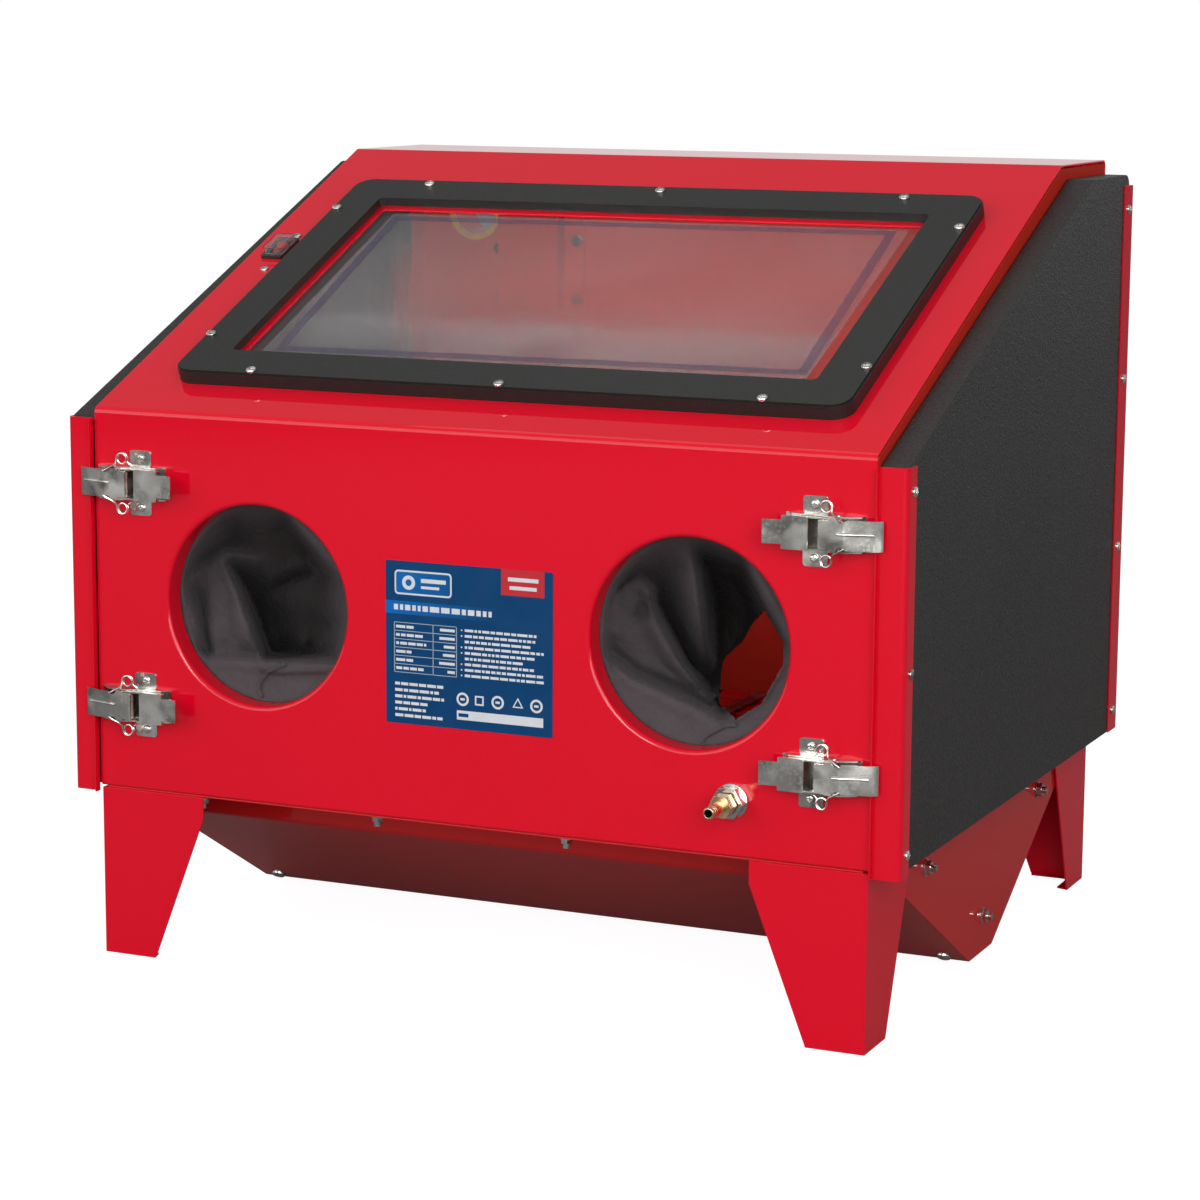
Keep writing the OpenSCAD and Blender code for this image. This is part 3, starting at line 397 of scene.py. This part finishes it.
MATS = {
    "print_white": printed("print_white", (0.72, 0.75, 0.78)),
    "print_pale": printed("print_pale", (0.42, 0.50, 0.58)),
    "print_red": printed("print_red", (0.58, 0.03, 0.04)),
    "print_band": fading_band(),
    "film_tape": speckled_tape(),
    "red_paint": red_paint("red_gloss", (0.80, 0.002, 0.020)),
    # darker copy of the red paint: painted shade for the faces that look into the cabinet
    "red_paint_inner": red_paint("red_inside_painted_shade", (0.52, 0.030, 0.018), 0.04),
    # darker copy of the red paint: painted shade for the hopper
    "red_paint_shade": red_paint("red_hopper_painted_shade", (0.62, 0.016, 0.016), 0.8),
    "black_textured_steel": wrinkle_black(),
    "black_textured_plastic": grained_black(),
    "window_glass": see_through("glass", (0.95, 0.97, 0.97), 0.02),
    "protective_film": see_through("film", (0.95, 0.94, 0.95), 0.04, (0.065, (0.55, 0.54, 0.54)), 1.12),
    "black_rubber": simple("black_rubber", (0.02, 0.02, 0.02), 0.6, (0.04, 0.04, 0.04)),
    "yellow_rubber": simple("yellow_rubber", (0.72, 0.42, 0.03), 0.5, (0.5, 0.28, 0.02)),
    "zinc_fastener": zinc("zinc_bright", (0.60, 0.60, 0.57), 0.16),
    "zinc_plate": zinc("zinc_plate"),
    "switch_black": simple("switch_black", (0.018, 0.018, 0.018), 0.25, (0.03, 0.03, 0.03)),
    "switch_red": simple("switch_red", (0.30, 0.015, 0.012), 0.25, (0.2, 0.01, 0.01)),
    "clear_boot": see_through("clear_boot", (0.93, 0.90, 0.90), 0.05, (0.03, (0.5, 0.45, 0.45)), 1.3),
    "sleeve_fabric": cloth_weave(),
    "label": printed("label_blue", (0.0, 0.052, 0.165), 0.38),
    "brass": zinc("brass", (0.66, 0.50, 0.30), 0.25),
    "hose_rubber": simple("hose_rubber", (0.02, 0.02, 0.022), 0.55, (0.035, 0.035, 0.035)),
    "media_hose": simple("media_hose", (0.55, 0.55, 0.48), 0.3, (0.45, 0.44, 0.38)),
    "gun_alloy": zinc("gun_alloy", (0.42, 0.43, 0.45), 0.42),
    "nozzle_ceramic": simple("nozzle_ceramic", (0.78, 0.75, 0.68), 0.5, (0.65, 0.6, 0.52)),
    "grate_steel": zinc("grate_steel", (0.35, 0.36, 0.37), 0.45),
    "lamp_white": simple("lamp_white", (0.78, 0.78, 0.76), 0.4, (0.7, 0.7, 0.68)),
    "lamp_glass": simple("lamp_glass", (0.85, 0.85, 0.8), 0.2, (0.8, 0.8, 0.75)),
}


# ---------------------------------------------------------------- CAD nodes: finishes and eased edges
def ease_edges(obj, width, flats):
    """Welds the tessellation, rounds the sharp edges and keeps the flats flat."""
    obj.data.polygons.foreach_set("use_smooth", [True] * len(obj.data.polygons))
    weld = obj.modifiers.new("weld", "WELD")
    weld.merge_threshold = 0.00001
    if flats:
        plane = obj.modifiers.new("flats", "DECIMATE")
        plane.decimate_type = "DISSOLVE"
        plane.angle_limit = math.radians(0.6)
    bevel = obj.modifiers.new("ease", "BEVEL")
    bevel.width = width
    bevel.segments = 3
    bevel.limit_method = "ANGLE"
    bevel.angle_limit = math.radians(35)
    bevel.harden_normals = True
    bevel.miter_outer = "MITER_ARC"
    normals = obj.modifiers.new("normals", "WEIGHTED_NORMAL")
    normals.keep_sharp = True
    normals.weight = 80


EDGES = {  # radius of the eased edges in millimetres, where it isn't EDGE
    "cabinet_shell": 1.0, "rear_panel": 0.4, "side_frames": 0.5, "hopper_trough": 0.5, "hopper_ends": 0.5,
    "door_skin_left": 5.0, "door_skin_right": 5.0, "window_frame": 1.8, "switch_bezel": 0.8,
    "leg_front_left": 0.6, "leg_front_right": 0.6, "leg_rear_left": 0.6, "leg_rear_right": 0.6,
}
EDGE = 0.25
MATT_SHADED_INSIDE = ("rear_panel", "baffle_box")  # thin matt paint, painted darker as painted shade, on the faces that look into the cabinet


def finish_cad():
    """Gives each CAD node its slot's material and eases its edges."""
    slots = {s["node"]: s["material_slot"] for s in frame["record"]["subparts"]}
    for name, obj in NODES.items():
        obj.data.materials.clear()
        obj.data.materials.append(MATS[slots[name]])
        if name in MATT_SHADED_INSIDE:
            # faces that look into the cabinet get the darker matt copy of the red paint, which is painted shade
            obj.data.materials.append(MATS["red_paint_inner"])
            for face in obj.data.polygons:
                face.material_index = int(face.normal.y < -0.3)
        if slots[name] in ("window_glass", "protective_film"):
            obj.data.polygons.foreach_set("use_smooth", [False] * len(obj.data.polygons))
        else:
            ease_edges(obj, EDGES.get(name, EDGE) * MM, flats=name in EDGES)


# ---------------------------------------------------------------- mesh helpers
def new_piece(name, bm, mats, smooth=True, replaces=()):
    """A visible piece from bm that rides on the cabinet."""
    mesh = bpy.data.meshes.new(name)
    bm.to_mesh(mesh)
    bm.free()
    obj = bpy.data.objects.new(name, mesh)
    bpy.context.scene.collection.objects.link(obj)
    for m in mats:
        mesh.materials.append(m)
    mesh.polygons.foreach_set("use_smooth", [smooth] * len(mesh.polygons))
    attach(obj, "cabinet")
    if replaces:
        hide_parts(*replaces)
    return obj


def prism(bm, outline, y0, y1, mat):
    """Closed slab between y0 (front) and y1 from an (x, z) outline, anticlockwise seen from the front."""
    front = [bm.verts.new((x, y0, z)) for x, z in outline]
    back = [bm.verts.new((x, y1, z)) for x, z in outline]
    faces = [bm.faces.new(front), bm.faces.new(back[::-1])]
    for i in range(len(outline)):
        j = (i + 1) % len(outline)
        faces.append(bm.faces.new((front[i], back[i], back[j], front[j])))
    for f in faces:
        f.material_index = mat


def rounded_box(x0, z0, x1, z1, r, n=5):
    """Outline of a box with rounded corners, each of n steps."""
    pts = []
    corners = ((x1 - r, z0 + r, -90), (x1 - r, z1 - r, 0), (x0 + r, z1 - r, 90), (x0 + r, z0 + r, 180))
    for cx, cz, start in corners:
        angles = [math.radians(start + 90 * k / n) for k in range(n + 1)]
        pts += [(cx + r * math.cos(a), cz + r * math.sin(a)) for a in angles]
    return pts


def ring_of(cx, cz, r, sides=24, turn=0.0):
    """Regular polygon of sides corners; with many it reads as a disc."""
    angles = [2 * math.pi * k / sides + turn for k in range(sides)]
    return [(cx + r * math.cos(a), cz + r * math.sin(a)) for a in angles]


def smooth_path(points, n):
    """n points on a Catmull-Rom curve through points."""
    p = [np.array(q, float) for q in points]
    p = [2 * p[0] - p[1]] + p + [2 * p[-1] - p[-2]]
    out = []
    for k in range(n):
        t = k / (n - 1) * (len(p) - 3)
        i = min(int(t), len(p) - 4)
        f = t - i
        a, b, c, d = p[i:i + 4]
        square = (2 * a - 5 * b + 4 * c - d) * f**2
        cube = (3 * b - a - 3 * c + d) * f**3
        out.append(0.5 * (2 * b + (c - a) * f + square + cube))
    return out


def sweep(bm, path, radius, sides):
    """Round tube along a path, with domed ends."""
    path = [Vector(q) for q in path]
    up = Vector((0.31, 0.52, 0.79))
    rings = []
    for i, q in enumerate(path):
        t = (path[min(i + 1, len(path) - 1)] - path[max(i - 1, 0)]).normalized()
        u = t.cross(up).normalized() if not rings else (last_u - t * last_u.dot(t)).normalized()
        last_u = u
        v = t.cross(u)
        angles = [2 * math.pi * k / sides for k in range(sides)]
        rings.append([bm.verts.new(q + radius * (u * math.cos(a) + v * math.sin(a))) for a in angles])
    for lower, upper in zip(rings, rings[1:]):
        for k in range(sides):
            bm.faces.new((lower[k], lower[(k + 1) % sides], upper[(k + 1) % sides], upper[k]))
    for ring, q, t in ((rings[0], path[0], path[0] - path[1]), (rings[-1], path[-1], path[-1] - path[-2])):
        tip = bm.verts.new(q + t.normalized() * radius * 0.6)
        for k in range(sides):
            bm.faces.new((ring[k], ring[(k + 1) % sides], tip))
    bmesh.ops.recalc_face_normals(bm, faces=bm.faces)


# ---------------------------------------------------------------- label
INK = 0.00005  # how far each layer of print stands out


def label():
    """Printed data label with plain blocks and greeked lines in place of any wording or marks."""
    lo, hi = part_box("label_plate")
    w, h = hi.x - lo.x, hi.z - lo.z
    bm = bmesh.new()
    rng = random.Random(4)
    base = lo.y

    def at(u, v):
        return lo.x + u * w, hi.z - v * h

    def block(u0, v0, u1, v1, mat, lift=1, r=0.0):
        x0, z1 = at(u0, v0)
        x1, z0 = at(u1, v1)
        outline = rounded_box(x0, z0, x1, z1, r) if r else [(x0, z0), (x1, z0), (x1, z1), (x0, z1)]
        prism(bm, outline, base - INK * lift, base + 2 * INK, mat)

    def words(u0, u1, v, height, mat, fill=1.0, gap=0.009, lift=1):
        u = u0
        end = u0 + (u1 - u0) * fill
        while u < end - 0.012:
            length = min(rng.uniform(0.014, 0.06), end - u)
            block(u, v, u + length, v + height, mat, lift)
            u += length + gap

    prism(bm, rounded_box(lo.x, lo.z, hi.x, hi.z, 0.0015), base, hi.y - 0.00002, 0)
    white, red, band, pale, dark = 1, 2, 3, 4, 0
    block(0.0, 0.245, 0.66, 0.325, band)
    block(0.055, 0.055, 0.40, 0.205, white, 1, 0.003)
    block(0.064, 0.066, 0.391, 0.194, band, 2, 0.002)
    ring = at(0.14, 0.13)
    prism(bm, ring_of(*ring, 0.0055), base - 3 * INK, base + 2 * INK, white)
    prism(bm, ring_of(*ring, 0.0026), base - 4 * INK, base + 2 * INK, band)
    block(0.215, 0.10, 0.365, 0.125, white, 3)
    block(0.215, 0.145, 0.325, 0.162, white, 3)
    block(0.695, 0.0, 0.95, 0.158, red)
    block(0.735, 0.048, 0.915, 0.072, white, 2)
    block(0.745, 0.10, 0.905, 0.122, white, 2)
    words(0.05, 0.64, 0.266, 0.034, white, 1.0, 0.012, 2)
    top, rows, row_h = 0.375, 6, 0.051
    for k in range(rows + 1):
        block(0.05, top + k * row_h, 0.43, top + k * row_h + 0.004, pale)
    for u in (0.05, 0.285, 0.426):
        block(u, top, u + 0.004, top + rows * row_h + 0.004, pale)
    for k in range(rows):
        words(0.062, 0.27, top + 0.019 + k * row_h, 0.017, white, rng.uniform(0.4, 0.95), 0.007)
        start = 0.425 - rng.uniform(0.04, 0.11)
        block(start, top + 0.019 + k * row_h, 0.418, top + 0.036 + k * row_h, white)
    for k in range(9):
        v = 0.385 + k * 0.0345
        if k in (0, 1, 3, 4, 6, 7, 8):
            block(0.455, v + 0.004, 0.463, v + 0.013, white)
        fullness = rng.uniform(0.55, 1.0) if k in (2, 5, 8) else rng.uniform(0.86, 1.0)
        words(0.478, 0.95, v, 0.016, white, fullness, 0.007)
    for k in range(6):
        words(0.055, 0.37, 0.745 + k * 0.039, 0.018, white, rng.uniform(0.55, 1.0), 0.007)
    for k, u in enumerate((0.435, 0.535, 0.645, 0.765, 0.875)):
        cx, cz = at(u + 0.03, 0.815)
        r = 0.0052
        sides = (24, 4, 24, 3, 24)[k]
        turn = (0, math.pi / 4, 0, math.pi / 2, 0)[k]
        prism(bm, ring_of(cx, cz, r, sides, turn), base - INK, base + 2 * INK, white)
        inner = ring_of(cx, cz, 0.66 * r, sides, turn)
        prism(bm, inner, base - 2 * INK, base + 2 * INK, dark if k != 3 else band)
        if k in (0, 2, 4):
            w2, h2 = 0.0018, 0.0009
            bar = [(cx - w2, cz - h2), (cx + w2, cz - h2), (cx + w2, cz + h2), (cx - w2, cz + h2)]
            prism(bm, bar, base - 3 * INK, base + 2 * INK, white)
    block(0.43, 0.885, 0.945, 0.942, white)
    block(0.44, 0.902, 0.50, 0.924, dark, 2)
    inks = [MATS[slot] for slot in ("label", "print_white", "print_red", "print_band", "print_pale")]
    new_piece("label_print", bm, inks, False, ("label_plate",))


# ---------------------------------------------------------------- sleeves
ARM_Z = 0.292
ARM_X = 0.1805
FRONT_Y = -0.2825
CLOTH_T = 0.0007
# These are in millimetres, with depth counted inwards from the front panel.
NECK_DEPTH = 18.0
NECK_END = 19.0  # where the cloth turns inwards over the neck's end
MOUTH_R = 78.2
DEEPEST = 140
RIM_BLEND = 5.0
CUFF = ((80.9, 7.4), (80.9, 17.5), (80.2, 19.6), (79.0, 20.0))  # radius and depth round the neck's outside


def line_points(points, spacing=5.0):
    """Points every few millimetres along a chain of (across, up, depth) points."""
    out = [points[0]]
    for a, b in zip(points, points[1:]):
        n = max(1, int(math.dist(a[:2], b[:2]) / spacing))
        out += [tuple(np.array(a) + (np.array(b) - np.array(a)) * k / n) for k in range(1, n + 1)]
    return out


def fold_surface(known, at):
    """Depth at each of at, from a smooth surface near the known (across, up, depth) points."""
    stiff, slack = 1.0, 0.3
    k = np.array(known, float)
    q = np.array(at, float)

    def kernel(a, b):
        d = np.linalg.norm(a[:, None, :] - b[None, :, :], axis=2)
        return np.sqrt(d * d + stiff * stiff)

    n = len(k)
    system = np.zeros((n + 3, n + 3))
    system[:n, :n] = kernel(k[:, :2], k[:, :2]) - slack * np.eye(n)
    system[:n, n:] = np.c_[np.ones(n), k[:, :2]]
    system[n:, :n] = system[:n, n:].T
    weights = np.linalg.solve(system, np.r_[k[:, 2], 0, 0, 0])
    return kernel(q, k[:, :2]) @ weights[:n] + np.c_[np.ones(len(q)), q] @ weights[n:]


def inside(p, polygon):
    """Whether the point p is in the polygon."""
    hit = False
    for (x0, y0), (x1, y1) in zip(polygon, polygon[1:] + polygon[:1]):
        if (y0 > p[1]) != (y1 > p[1]) and p[0] < (x1 - x0) * (p[1] - y0) / (y1 - y0) + x0:
            hit = not hit
    return hit


def offset_chain(chain, by, depth):
    """The chain moved sideways by some millimetres, at another depth."""
    out = []
    for i, p in enumerate(chain):
        a, b = chain[max(i - 1, 0)], chain[min(i + 1, len(chain) - 1)]
        t = np.array([b[0] - a[0], b[1] - a[1]], float)
        t /= np.linalg.norm(t)
        d = depth[i] if isinstance(depth, (list, tuple)) else depth
        out.append((p[0] - t[1] * by, p[1] + t[0] * by, d))
    return out


def sleeve(side, lean, chains, opening=None, seams=()):
    """Arm sleeve of woven cloth, clamped round the neck, that has slumped into folds.
    lean is how far a line of view drifts across and up for each millimetre of depth.
    The folds are placed along it."""
    name = "arm_sleeve_" + ("left" if side < 0 else "right")
    rings, around = 96, 232
    centre = np.array(lean) * NECK_DEPTH * 1.06
    radius = MOUTH_R
    known = [(*point, NECK_END) for point in ring_of(*centre, radius, 48)]
    for chain in chains:
        known += line_points(chain)
    known = [k for k in known if math.dist(k[:2], centre) < radius - 2.5 or k[2] == NECK_END]
    grid = []
    for i in range(rings):
        rho = 1 - i / (rings - 1) * 0.995
        grid += ring_of(*centre, radius * rho, around)
    depth = fold_surface(known, grid)
    rim_blend = np.clip((radius - np.linalg.norm(np.array(grid) - centre, axis=1)) / RIM_BLEND, 0, 1)
    depth = NECK_END + (np.clip(depth, NECK_END + 0.2, DEEPEST) - NECK_END) * rim_blend
    field = depth.reshape(rings, around)
    beside = np.roll(field, 1, 1)[1:-1] + np.roll(field, -1, 1)[1:-1]
    field[1:-1] = 0.5 * field[1:-1] + 0.125 * (field[:-2] + field[2:] + beside)
    rng = np.random.default_rng(7 if side < 0 else 11)
    bm = bmesh.new()
    verts = []
    for r, d in CUFF:
        loop = ring_of(side * ARM_X, ARM_Z, r * MM, around)
        verts.append([bm.verts.new((x, FRONT_Y + d * MM, z)) for x, z in loop])
    # each wave has a frequency, a direction, a phase and a height
    waves = [(rng.uniform(0.05, 0.16), rng.uniform(0, 6.28), rng.uniform(0, 6.28), rng.uniform(0.2, 0.5))
             for _ in range(7)]
    for i in range(rings):
        row = []
        for j in range(around):
            across, up = grid[i * around + j]
            d = field[i, j]
            fade = min(1, i / 6)
            d += fade * sum(amp * math.sin(f * (across * math.cos(dirn) + up * math.sin(dirn)) + ph)
                            for f, dirn, ph, amp in waves) * 0.5
            row.append(bm.verts.new((side * ARM_X + (across - lean[0] * d) * MM, FRONT_Y + d * MM,
                                     ARM_Z + (up - lean[1] * d) * MM)))
        verts.append(row)
    spots = dict(zip((v for row in verts[len(CUFF):] for v in row), grid))
    for lower, upper in zip(verts, verts[1:]):
        for j in range(around):
            quad = (lower[j], lower[(j + 1) % around], upper[(j + 1) % around], upper[j])
            if opening and all(v in spots for v in quad):
                mid = np.mean([spots[v] for v in quad], axis=0)
                if inside(mid, opening):
                    continue
            bm.faces.new(quad)
    last = verts[-1]
    if not (opening and inside(spots[last[0]], opening)):
        bm.faces.new(last)
    for v in [v for v in bm.verts if not v.link_faces]:
        bm.verts.remove(v)
    bmesh.ops.recalc_face_normals(bm, faces=bm.faces)
    area = sum(f.calc_area() for f in bm.faces)
    obj = new_piece(name, bm, [MATS["sleeve_fabric"]], True,
                    ("sleeve_left" if side < 0 else "sleeve_right",))
    cloth = obj.modifiers.new("cloth_thickness", "SOLIDIFY")
    cloth.thickness = CLOTH_T
    cloth.offset = 0

    def lifted(path, lift):
        """The path laid on the cloth and raised off it, in metres."""
        flat = [(p[0], p[1]) for p in path]
        ds = fold_surface(known, flat)
        out = []
        for (across, up), d in zip(flat, ds):
            out.append((side * ARM_X + (across - lean[0] * (d - lift)) * MM,
                        FRONT_Y + (max(d, NECK_END + 0.5) - lift) * MM,
                        ARM_Z + (up - lean[1] * (d - lift)) * MM))
        return out

    for n, seam in enumerate(seams):
        bm = bmesh.new()
        line = smooth_path(seam, 30)
        for shift in (-1.1, 1.1):
            chain = offset_chain([tuple(q) + (0,) for q in line], shift, 0)
            sweep(bm, lifted(chain, 2.4), 0.0004, 6)
        body = offset_chain([tuple(q) + (0,) for q in line], 0, 0)
        sweep(bm, lifted(body, 1.5), 0.0013, 8)
        seam_obj = new_piece(f"{name}_seam_{n}", bm, [MATS["sleeve_fabric"]])


def sleeves():
    top_right = [(32, 74, 21), (53, 54, 22), (74, 34, 21)]
    bottom = [(-54, -42, 23), (-40, -44, 24), (-8, -43, 25), (24, -42, 25), (73, -38, 23)]
    behind = [(-55, -39, 31), (-49, -40, 43), (-45, -40.5, 42), (-38, -41, 33), (-20, -40.5, 36),
              (-8, -40, 39), (6, -40, 43), (9, -39.5, 80), (24, -39, 84), (50, -36.5, 72), (71, -35, 50)]
    sleeve(-1, (0.58, 0.203), [
        top_right, offset_chain(top_right, -3, [48, 56, 48]), offset_chain(top_right, -13, [60, 70, 66]),
        offset_chain(top_right, 6, 20.5),
        bottom, behind,
        offset_chain(bottom, -9, 22.5),
        [(-62, -22, 24), (-58, -36, 22)],
        [(-64, 8, 25), (-54, -10, 29), (-48, -38, 31)], [(-59, 8, 42), (-50, -10, 46), (-44, -38, 44)],
        [(-33, 28, 45), (-41, 3, 37), (-42, -21, 34), (-38, -37, 33)],
        [(-31, 33, 44), (-25, 5, 38), (-22, -20, 36), (-20, -36, 36)],
        [(-28, 33, 46), (-15, 12, 43), (-4, -13, 41), (4, -37, 42)],
        [(-22, 30, 62), (-10, 12, 78), (2, -13, 90), (10, -36, 84)],
        [(-66, 15, 34), (-49, 28, 46), (-27, 42, 50), (0, 38, 56)],
        [(-62, 21, 40), (-46, 34, 58), (-26, 49, 64), (2, 46, 62)],
        [(-54, 38, 36), (-40, 52, 38), (-28, 68, 34)], [(-40, 36, 54), (-28, 50, 60), (-18, 66, 52)],
        [(0, 62, 56), (14, 48, 64), (28, 38, 68)],
        [(17, 17, 82), (32, 25, 83), (51, 33, 76)], [(15, 24, 68), (30, 32, 66), (49, 40, 64)],
        [(20, 9, 72), (35, 17, 68), (54, 25, 66)],
        [(42, 4, 66), (63, 12, 64)], [(68, -8, 66), (60, -26, 64)],
        [(20, -28, 90), (31, -15, 76), (44, -26, 68)],
    ], None, [[(5, -71), (2, -66), (3, -60), (8, -53), (16, -47), (24, -43.5)]])
    finger = [(-64, 26, 34), (-53, 40, 44), (-40, 49, 48), (-30, 41, 49), (-29, 28, 50), (-14, 4, 50),
              (-3, -14, 52), (24, -46, 58)]
    valley = [(-68, -8, 40), (-41, -25, 47), (-14, -33, 52), (3, -39, 56), (30, -50, 60)]
    right_edge = [(47, 66, 21), (62, 38, 23), (74, 19, 22), (80, 9, 21)]
    low_edge = [(79, -9, 21), (61, -41, 24), (41, -56, 25)]
    sleeve(1, (0.416, 0.203), [
        finger, offset_chain(finger, 3, [50, 56, 58, 64, 70, 80, 90, 104]),
        [(-60, 14, 36), (-44, 22, 45), (-40, 34, 47)], [(-36, 26, 54), (-41, 20, 52)],
        [(-53, 6, 37), (-34, 4, 43), (-21, -14, 46), (2, -34, 52)],
        valley, offset_chain(valley, -5, [25, 28, 30, 31, 30]), offset_chain(valley, 7, [38, 43, 47, 52, 56]),
        [(-60, -24, 22), (-48, -38, 23), (-28, -47, 24), (-8, -54, 24), (8, -52, 25), (22, -58, 24)],
        [(-40, -54, 21), (-20, -62, 21), (4, -66, 22)], [(2, -48, 28), (-1, -58, 26)],
        right_edge, offset_chain(right_edge, -3, [62, 80, 76, 60]), offset_chain(right_edge, 5, 20.5),
        low_edge, offset_chain(low_edge, -6, 22),
        [(-24, 64, 44), (-10, 60, 48), (-4, 36, 54), (0, 14, 62), (8, -12, 78)],
        [(7, 66, 50), (10, 50, 53), (13, 30, 58), (16, 10, 64), (18, -10, 74)],
        [(11, 66, 76), (14, 50, 86), (17, 30, 96), (20, 10, 104), (23, -12, 110), (26, -30, 114)],
        [(36, 50, 100), (50, 34, 108), (44, 10, 112), (36, -10, 114)],
        [(60, 4, 100), (52, -24, 104)],
    ], [(62, 31), (53, 21), (45, 6), (32, -6), (29, -11), (26, -43), (39, -53), (59, -39), (75, -9), (77, 8)],
        [[(12, -72), (15, -67), (23, -62), (31, -58), (39, -57)]])


# ---------------------------------------------------------------- window film and its tape
SLOPE_FOOT = (-282.5, 438.5)  # y and z of the panel's lower and upper edges, in millimetres
SLOPE_HEAD = (152.5, 625.5)
SLOPE = math.atan2(SLOPE_HEAD[1] - SLOPE_FOOT[1], SLOPE_HEAD[0] - SLOPE_FOOT[0])
TAPE_CORNERS = [(-211.4, 96.0), (235.3, 99.6), (228.6, 336.4), (-218.8, 334.8)]  # across, up the slope
TAPE_MIDDLE = (8, 216)
TAPE_WIDTH = 8.0
TAPE_HEIGHTS = (5.62, 5.52)  # top and underside, out of the panel
TAPE_STEPS = 40


def on_slope(x, s, h):
    """Point on the window panel, in millimetres: across, up the slope, out of it."""
    y = SLOPE_FOOT[0] + s * math.cos(SLOPE) - h * math.sin(SLOPE)
    z = SLOPE_FOOT[1] + s * math.sin(SLOPE) + h * math.cos(SLOPE)
    return Vector((x, y, z)) * MM


def film_tape():
    """Tacky border of the throw-away film: a slightly uneven violet band."""
    rng = random.Random(3)
    bm = bmesh.new()
    outer, inner = [], []
    for k in range(4):
        a, b = TAPE_CORNERS[k], TAPE_CORNERS[(k + 1) % 4]
        for i in range(TAPE_STEPS):
            t = i / TAPE_STEPS
            x, s = a[0] + (b[0] - a[0]) * t, a[1] + (b[1] - a[1]) * t
            cx, cs = TAPE_MIDDLE[0] - x, TAPE_MIDDLE[1] - s
            inward = (0, math.copysign(1, cs)) if k in (0, 2) else (math.copysign(1, cx), 0)
            if i == 0:
                inward = (math.copysign(1, cx), math.copysign(1, cs))
            wob = rng.uniform(-0.25, 0.25)
            outer.append((x + inward[0] * wob, s + inward[1] * wob))
            width = TAPE_WIDTH + rng.uniform(-0.5, 0.5)
            inner.append((x + inward[0] * width, s + inward[1] * width))
    top, under = TAPE_HEIGHTS
    loops = [[bm.verts.new(on_slope(x, s, h)) for x, s in ring]
             for ring, h in ((outer, top), (inner, top), (inner, under), (outer, under))]
    n = len(outer)
    for p, q in zip(loops, loops[1:] + loops[:1]):
        for i in range(n):
            bm.faces.new((p[i], p[(i + 1) % n], q[(i + 1) % n], q[i]))
    bmesh.ops.recalc_face_normals(bm, faces=bm.faces)
    new_piece("film_tape", bm, [MATS["film_tape"]], False)


# ---------------------------------------------------------------- hoses inside the cabinet
AIR_ROUTE = [(216.5, -260.5, 179), (216.5, -245, 179), (216.5, -225, 177), (216.5, -205, 173),
             (216.5, -185, 167.5), (216.5, -165, 162), (216.5, -145, 158), (216.5, -125, 155.6),
             (216.5, -110, 154.8), (216.5, -100, 154.8)]  # millimetres, in the row frame
GUN_Y, GUN_Z = -18, 154.8
FEED_X, FEED_R, DROP_R = 241, 50, 48  # media hose: a flat quarter turn, then a quarter turn down


def hose(name, route, diameter, slot):
    """Round hose along a route in millimetres, fixed at both ends inside the cabinet."""
    line = [Vector(q) * MM for q in route]
    curve = bpy.data.curves.new(name, "CURVE")
    curve.dimensions = "3D"
    curve.bevel_depth = diameter / 2
    curve.bevel_resolution = 6
    curve.use_fill_caps = True
    spline = curve.splines.new("POLY")
    spline.points.add(len(line) - 1)
    for point, q in zip(spline.points, line):
        point.co = (*q, 1)
    spline.use_smooth = True
    curve.materials.append(MATS[slot])
    obj = bpy.data.objects.new(name, curve)
    bpy.context.scene.collection.objects.link(obj)
    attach(obj, "cabinet")
    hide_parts(name.replace("_run", ""))


def hoses():
    """Air hose from the inlet to the gun, and media hose from the gun down to the pickup tube."""
    hose("air_hose_run", smooth_path(AIR_ROUTE, 60), 0.010, "hose_rubber")
    turn = [math.radians(4.5 * k) for k in range(21)]
    drop_x = FEED_X + FEED_R
    drop_y = GUN_Y + FEED_R
    route = [(FEED_X - 0.9, GUN_Y, GUN_Z)]
    route += [(FEED_X + FEED_R * math.sin(a), GUN_Y + FEED_R * (1 - math.cos(a)), GUN_Z) for a in turn]
    route += [(drop_x, drop_y + DROP_R * math.sin(a), GUN_Z - DROP_R * (1 - math.cos(a))) for a in turn[1:]]
    route.append((drop_x, drop_y + DROP_R, GUN_Z - DROP_R - 1))
    hose("media_hose_run", route, 0.012, "media_hose")


bpy.context.scene.view_settings.view_transform = "Standard"
make_camera()
make_world()
make_lights()
make_floor()
finish_cad()
label()
sleeves()
film_tape()
hoses()
